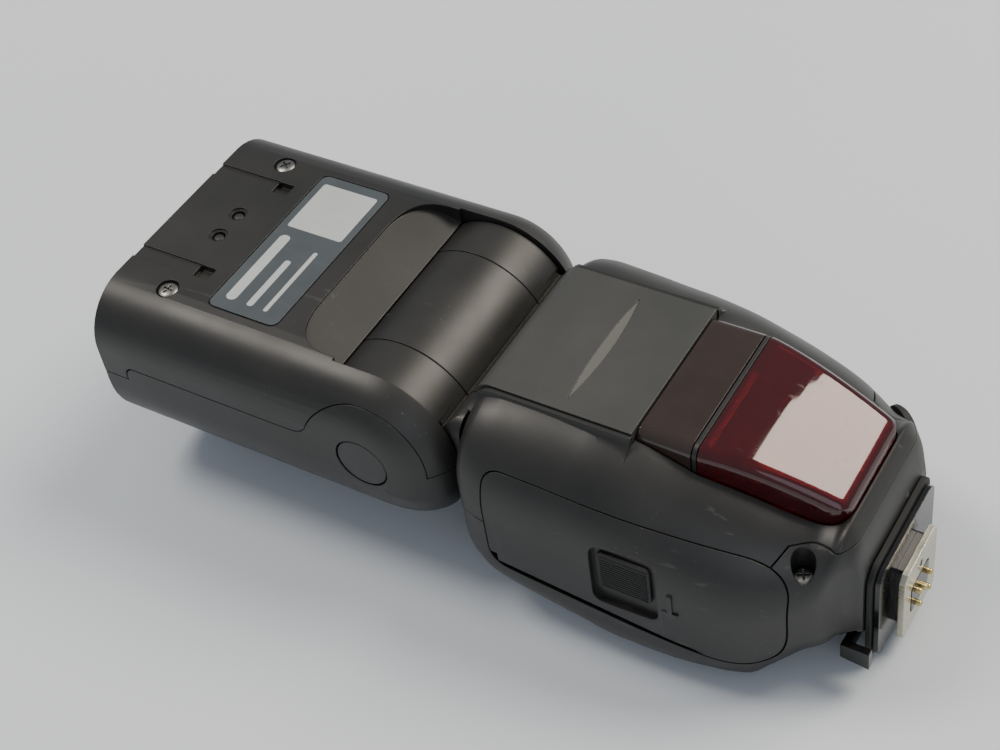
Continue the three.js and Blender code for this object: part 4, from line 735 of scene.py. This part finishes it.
def head_form(inset, steps=14):
    """Side views across the flash that shrink by r - sqrt(r^2 - d^2) near the sides, so every edge is round."""
    half, top, bottom, arm = HALF_WIDTH - inset, TOP_EDGE_R - inset, BOTTOM_EDGE_R - inset, ARM_CORNER_R
    side = half - bottom + bottom * np.sin(np.linspace(0, np.pi / 2, steps))
    y = np.concatenate([-side[::-1], side])[:, None]
    past = [np.maximum(0, np.abs(y) - half + r) for r in (top, bottom)]
    fall, rise = (r - np.sqrt(np.maximum(0, r * r - d ** 2)) for r, d in zip((top, bottom), past))
    turn = np.linspace(0, np.pi / 2, 16)
    low, high, reach = HEAD_LOW + inset + rise, FLAT - inset - fall, ARM_END_R - inset - fall
    arm_x, arm_z = TILT[0] + ARM_END_R - arm, HEAD_LOW + arm
    front = np.full_like(y, HEAD_X + inset)
    corner_x = arm_x + (TILT[0] + reach - arm_x) * np.sin(turn)
    corner_z = arm_z - (arm_z - low) * np.cos(turn)
    x = np.concatenate([front, corner_x, TILT[0] + reach * np.cos(turn), front], 1)
    z = np.concatenate([low, corner_z, TILT[1] + reach * np.sin(turn), high], 1)
    return loft(np.stack([x, np.broadcast_to(y, x.shape), z], axis=-1))


def cover_region(grow):
    """Everything on the cover side of the parting line, which steps up along the arm and round the hinge disc."""
    region = box(-120, 20, -60, 60, 0, 36 + grow)
    fillet = np.vstack([bend((-40.5, 40.3), (-35.6, 40.3), (-34.2, 44.4)) + (0, grow), [(-31, 40)]])
    for y0, y1 in ((-60, -35.2), (35.2, 60)):
        region = join(region, prism("y", rounded(-90 - grow, TILT[0], 25, 40.3 + grow, 3), y0, y1),
                      disc("y", (TILT[0], 0, TILT[1]), 15.6 + grow, y0, y1, steps=96),
                      prism("y", fillet, y0, y1))
    return region


def scoop():
    """The crescent recess in the label side, deepening from 0.5 mm to 4.8 mm at the barrel."""
    side = bend((-33.9, 27.6), (-44, 27), (-44, 14), 16)
    plan = np.vstack([[(-27.9, -27.6)], side * (1, -1), side[::-1], [(-27.9, 27.6)]])
    above = [(-44, 57.5), (-42.5, 57.0), (-30.9, 53.2), (-20, 50.2), (-20, 70), (-44, 70)]
    return keep(prism("z", plan, 40, 70), prism("y", above, -40, 40))


def make_head():
    """The two halves of the head, its label, pins and pivot discs, the ribbed lens and the two pull-out panels."""
    hollow = cut(head_form(WALL, 12), box(-40, 20, -60, 60, 0, 70), box(-46, 20, -60, 60, 50.8, 70))
    tx, tz = TILT
    screw_x, screw_y = HEAD_SCREW
    behind = cut(box(-40.1, -12, -ARM_IN, ARM_IN, HEAD_LOW + WALL, 50.8),
                 disc("y", (tx, 0, tz), BARREL_R + WALL, -60, 60))
    walls = cut(head_form(0), hollow, box(-30.9, 5, -ARM_IN, ARM_IN, tz, 70),
                box(-12, 5, -ARM_IN, ARM_IN, 5, tz + 1),
                disc("y", (tx, 0, tz), BARREL_R + 0.4, -ARM_IN, ARM_IN, steps=128), behind)
    for y0, y1 in ((-36, -30.6), (30.6, 36)):
        core = cut(box(-40.1, -14, y0, y1, 18, 52), disc("y", (tx, 0, tz), 9, -60, 60))
        cut(walls, keep(core, head_form(WALL, 12)))
    for side in (-1, 1):
        join(walls, disc("z", (screw_x, side * screw_y, 0), 4, 52, FLAT - 1, steps=40))
    cut(walls, scoop(), prism("z", rounded(-69.9, -49.1, -25.7, 25.7, 2.3), FLAT - 0.5, 70),
        prism("x", rounded(-33.3, 33.3, 19.7, 53.3, 3), -120, HEAD_X + WALL + 1),
        prism("x", rounded(-25.4, 25.4, 13.9, 17.3, 0.6), -120, HEAD_X + WALL + 1),
        disc("y", (tx, 0, tz), 3.3, -34.2, 34.2), disc("y", (tx, 0, tz), 7.05, -45, -34.8),
        disc("y", (tx, 0, tz), 7.05, 34.8, 45))
    for side in (-1, 1):
        screw, pin, clip = (screw_x, side * screw_y, 0), (screw_x, side * SENSOR_PIN_Y, 0), side * CLIP_Y
        cut(walls, box(-100, -79, clip - 2.1, clip + 2.1, FLAT - 0.5, 70),
            box(-79.3, -74.4, clip - 2, clip + 2, FLAT - 1.7, 70),
            disc("z", screw, 2.9, FLAT - 1.4, 70), disc("z", screw, 1.5, 45, 70),
            disc("z", pin, 1.75, 45, 70), disc("z", pin, 2.4, FLAT - 0.5, 70))
    lid = cut(copy(walls), cover_region(0.3))
    place(lid, "head_label_side", "head", SHELL, "shell_black", "head_label_shell")
    place(keep(walls, cover_region(0)), "head_cover", "head", SHELL, "shell_black", "head_cover_shell")

    label = prism("z", rounded(-69.5, -49.5, -25.3, 25.3, 2), FLAT - 0.35, FLAT + 0.02)
    place(label, "label_plate", "head", LABEL, "label_grey", "rating_label")
    marks = [rounded(-67.6, -51.4, 5.5, 22.5, 0.8), rounded(-66.8, -63.8, -22, 2.5, 1.4),
             rounded(-60.4, -58.6, -22, -5, 0.8), rounded(-55.4, -54.2, -22, 0, 0.5)]
    for i, outline in enumerate(marks, 1):
        place(prism("z", outline, FLAT - 0.1, FLAT + 0.035), f"label_mark_{i}", "head", PRINT, "label_grey")
    profile = [(53.4, 2.4), (54.7, 2.4), (54.7, 1.45), (56.8, 1.45), (57.2, 1.1), (57.35, 0.5)]
    for i, side in enumerate((-1, 1), 1):
        pin = lathe("z", (screw_x, side * SENSOR_PIN_Y, 0), profile, 40)
        place(pin, f"filter_pin_{i}", "head", KEY, "key_black", f"filter_sensor_pin_{i}")
    for name, node, body, y0, y1 in (("tilt_lock_disc", "tilt_lock_button", "tilt_lock", -38.9, -36.2),
                                     ("pivot_disc", "pivot_cap", "head", 35.2, 38.9)):
        place(disc("y", (tx, 0, tz), 6.7, y0, y1, 0.35, 96), name, body, KEY, "key_black", node)

    ys = np.linspace(-33, 33, 441)
    ribs = np.column_stack([LENS_X + 0.45 * (1 - np.abs(np.sin(ys * np.pi / 1.5))), ys])
    lens = keep(prism("z", np.vstack([[(-95.6, -33)], ribs, [(-95.6, 33)]]), 19, 54),
                prism("x", rounded(-33, 33, 20, 53, 2.8), -100, -95))
    place(lens, "ribbed_lens", "head", CLEAR, "lens_clear", "flash_lens")
    wide = join(prism("z", rounded(-96.9, -52, -25, 25, 2), 15.9, 17), box(-97.2, -96.4, -8, 8, 15.9, 17))
    place(wide, "wide_diffuser", "wide_panel", CLEAR, "lens_clear", "wide_panel")
    card = prism("z", rounded(-96.9, -56, -22, 22, 2), 14.5, 15.3)
    place(card, "bounce_card", "catchlight_panel", CARD, "card_white", "catchlight_panel")


def carry_over():
    """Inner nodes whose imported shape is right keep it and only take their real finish."""
    looks = {"battery_box": INNER, "battery_contacts": STEEL, "main_capacitor": SLEEVE, "main_board": BOARD,
             "control_board": BOARD, "locking_pin": STEEL, "swivel_retainer": STEEL, "tilt_shaft": STEEL,
             "zoom_screw": STEEL, "reflector": BRIGHT, "flash_tube": TUBE}
    looks.update({f"battery_cell_{i}": CELL for i in range(1, 5)})
    for node, material in looks.items():
        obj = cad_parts[node]
        obj.data.materials.clear()
        obj.data.materials.append(material)


make_windows()
make_trim()
make_screws()
make_latch()
make_socket_cap()
make_controls()
make_foot()
make_neck()
make_head()
carry_over()


# ---- floor, light and camera ----
def make_studio():
    """A matt pale blue-grey sheet, a broad soft light behind, one over the head's end and a faint one in front."""
    sheet, tree, surface = new_material("matt_backdrop_sheet", Roughness=0.7, IOR=1.45)
    at = add(tree, "ShaderNodeTexCoord")
    cloud = add(tree, "ShaderNodeTexNoise", Vector=(at, "Object"), Scale=3.0, Detail=2.0)
    shade = ramp(tree, (cloud, 0), [(0.3, "#d2d8de"), (0.7, "#d8dde2")])
    tree.links.new(shade.outputs[0], surface.inputs["Base Color"])
    floor = raw_mesh("backdrop", [(-3, -3, 0), (3, -3, 0), (3, 3, 0), (-3, 3, 0)], [(0, 1, 2, 3)])
    floor.data.materials.append(sheet)
    world = bpy.data.worlds.new("studio")
    bpy.context.scene.world = world
    world.use_nodes = True
    sky = world.node_tree.nodes["Background"]
    sky.inputs["Color"].default_value = colour("#e3e9f2")
    sky.inputs["Strength"].default_value = 0.45
    for name, place_at, size, power, tint in (("key", (0.62, 0.85, 1.25), 0.9, 24, "#fff6e6"),
                                              ("side", (-0.7, -0.1, 1.2), 0.5, 9, "#fff8ee"),
                                              ("fill", (0.9, -1.0, 0.8), 1.0, 3, "#eaf1ff")):
        light = bpy.data.lights.new(name, "AREA")
        light.shape = "DISK"
        light.size = size
        light.energy = power
        light.color = colour(tint)[:3]
        obj = bpy.data.objects.new(name, light)
        obj.location = place_at
        obj.rotation_mode = "QUATERNION"
        obj.rotation_quaternion = (-Vector(place_at)).to_track_quat("-Z", "Y")
        bpy.context.collection.objects.link(obj)


def make_camera():
    """A 67 mm view from above the near side, rolled a little, aimed just under the middle of the flash."""
    azimuth, elevation, roll = (math.radians(v) for v in (37.69, 45.43, -9.91))
    level = math.cos(elevation)
    back = Vector((math.sin(azimuth) * level, -math.cos(azimuth) * level, math.sin(elevation)))
    right = Vector((math.cos(azimuth), math.sin(azimuth), 0))
    up = back.cross(right)
    across = right * math.cos(roll) + up * math.sin(roll)
    upward = up * math.cos(roll) - right * math.sin(roll)
    lens = bpy.data.cameras.new("camera")
    lens.lens = 67.44
    lens.sensor_width = 36
    lens.clip_start = 0.02
    camera = bpy.data.objects.new("camera", lens)
    eye = (Vector((-4.67 + SHIFT_X, -1.55, 38.03)) + back * 445.58) * MM
    camera.matrix_world = Matrix.Translation(eye) @ Matrix((across, upward, back)).transposed().to_4x4()
    bpy.context.collection.objects.link(camera)
    bpy.context.scene.camera = camera


make_studio()
make_camera()
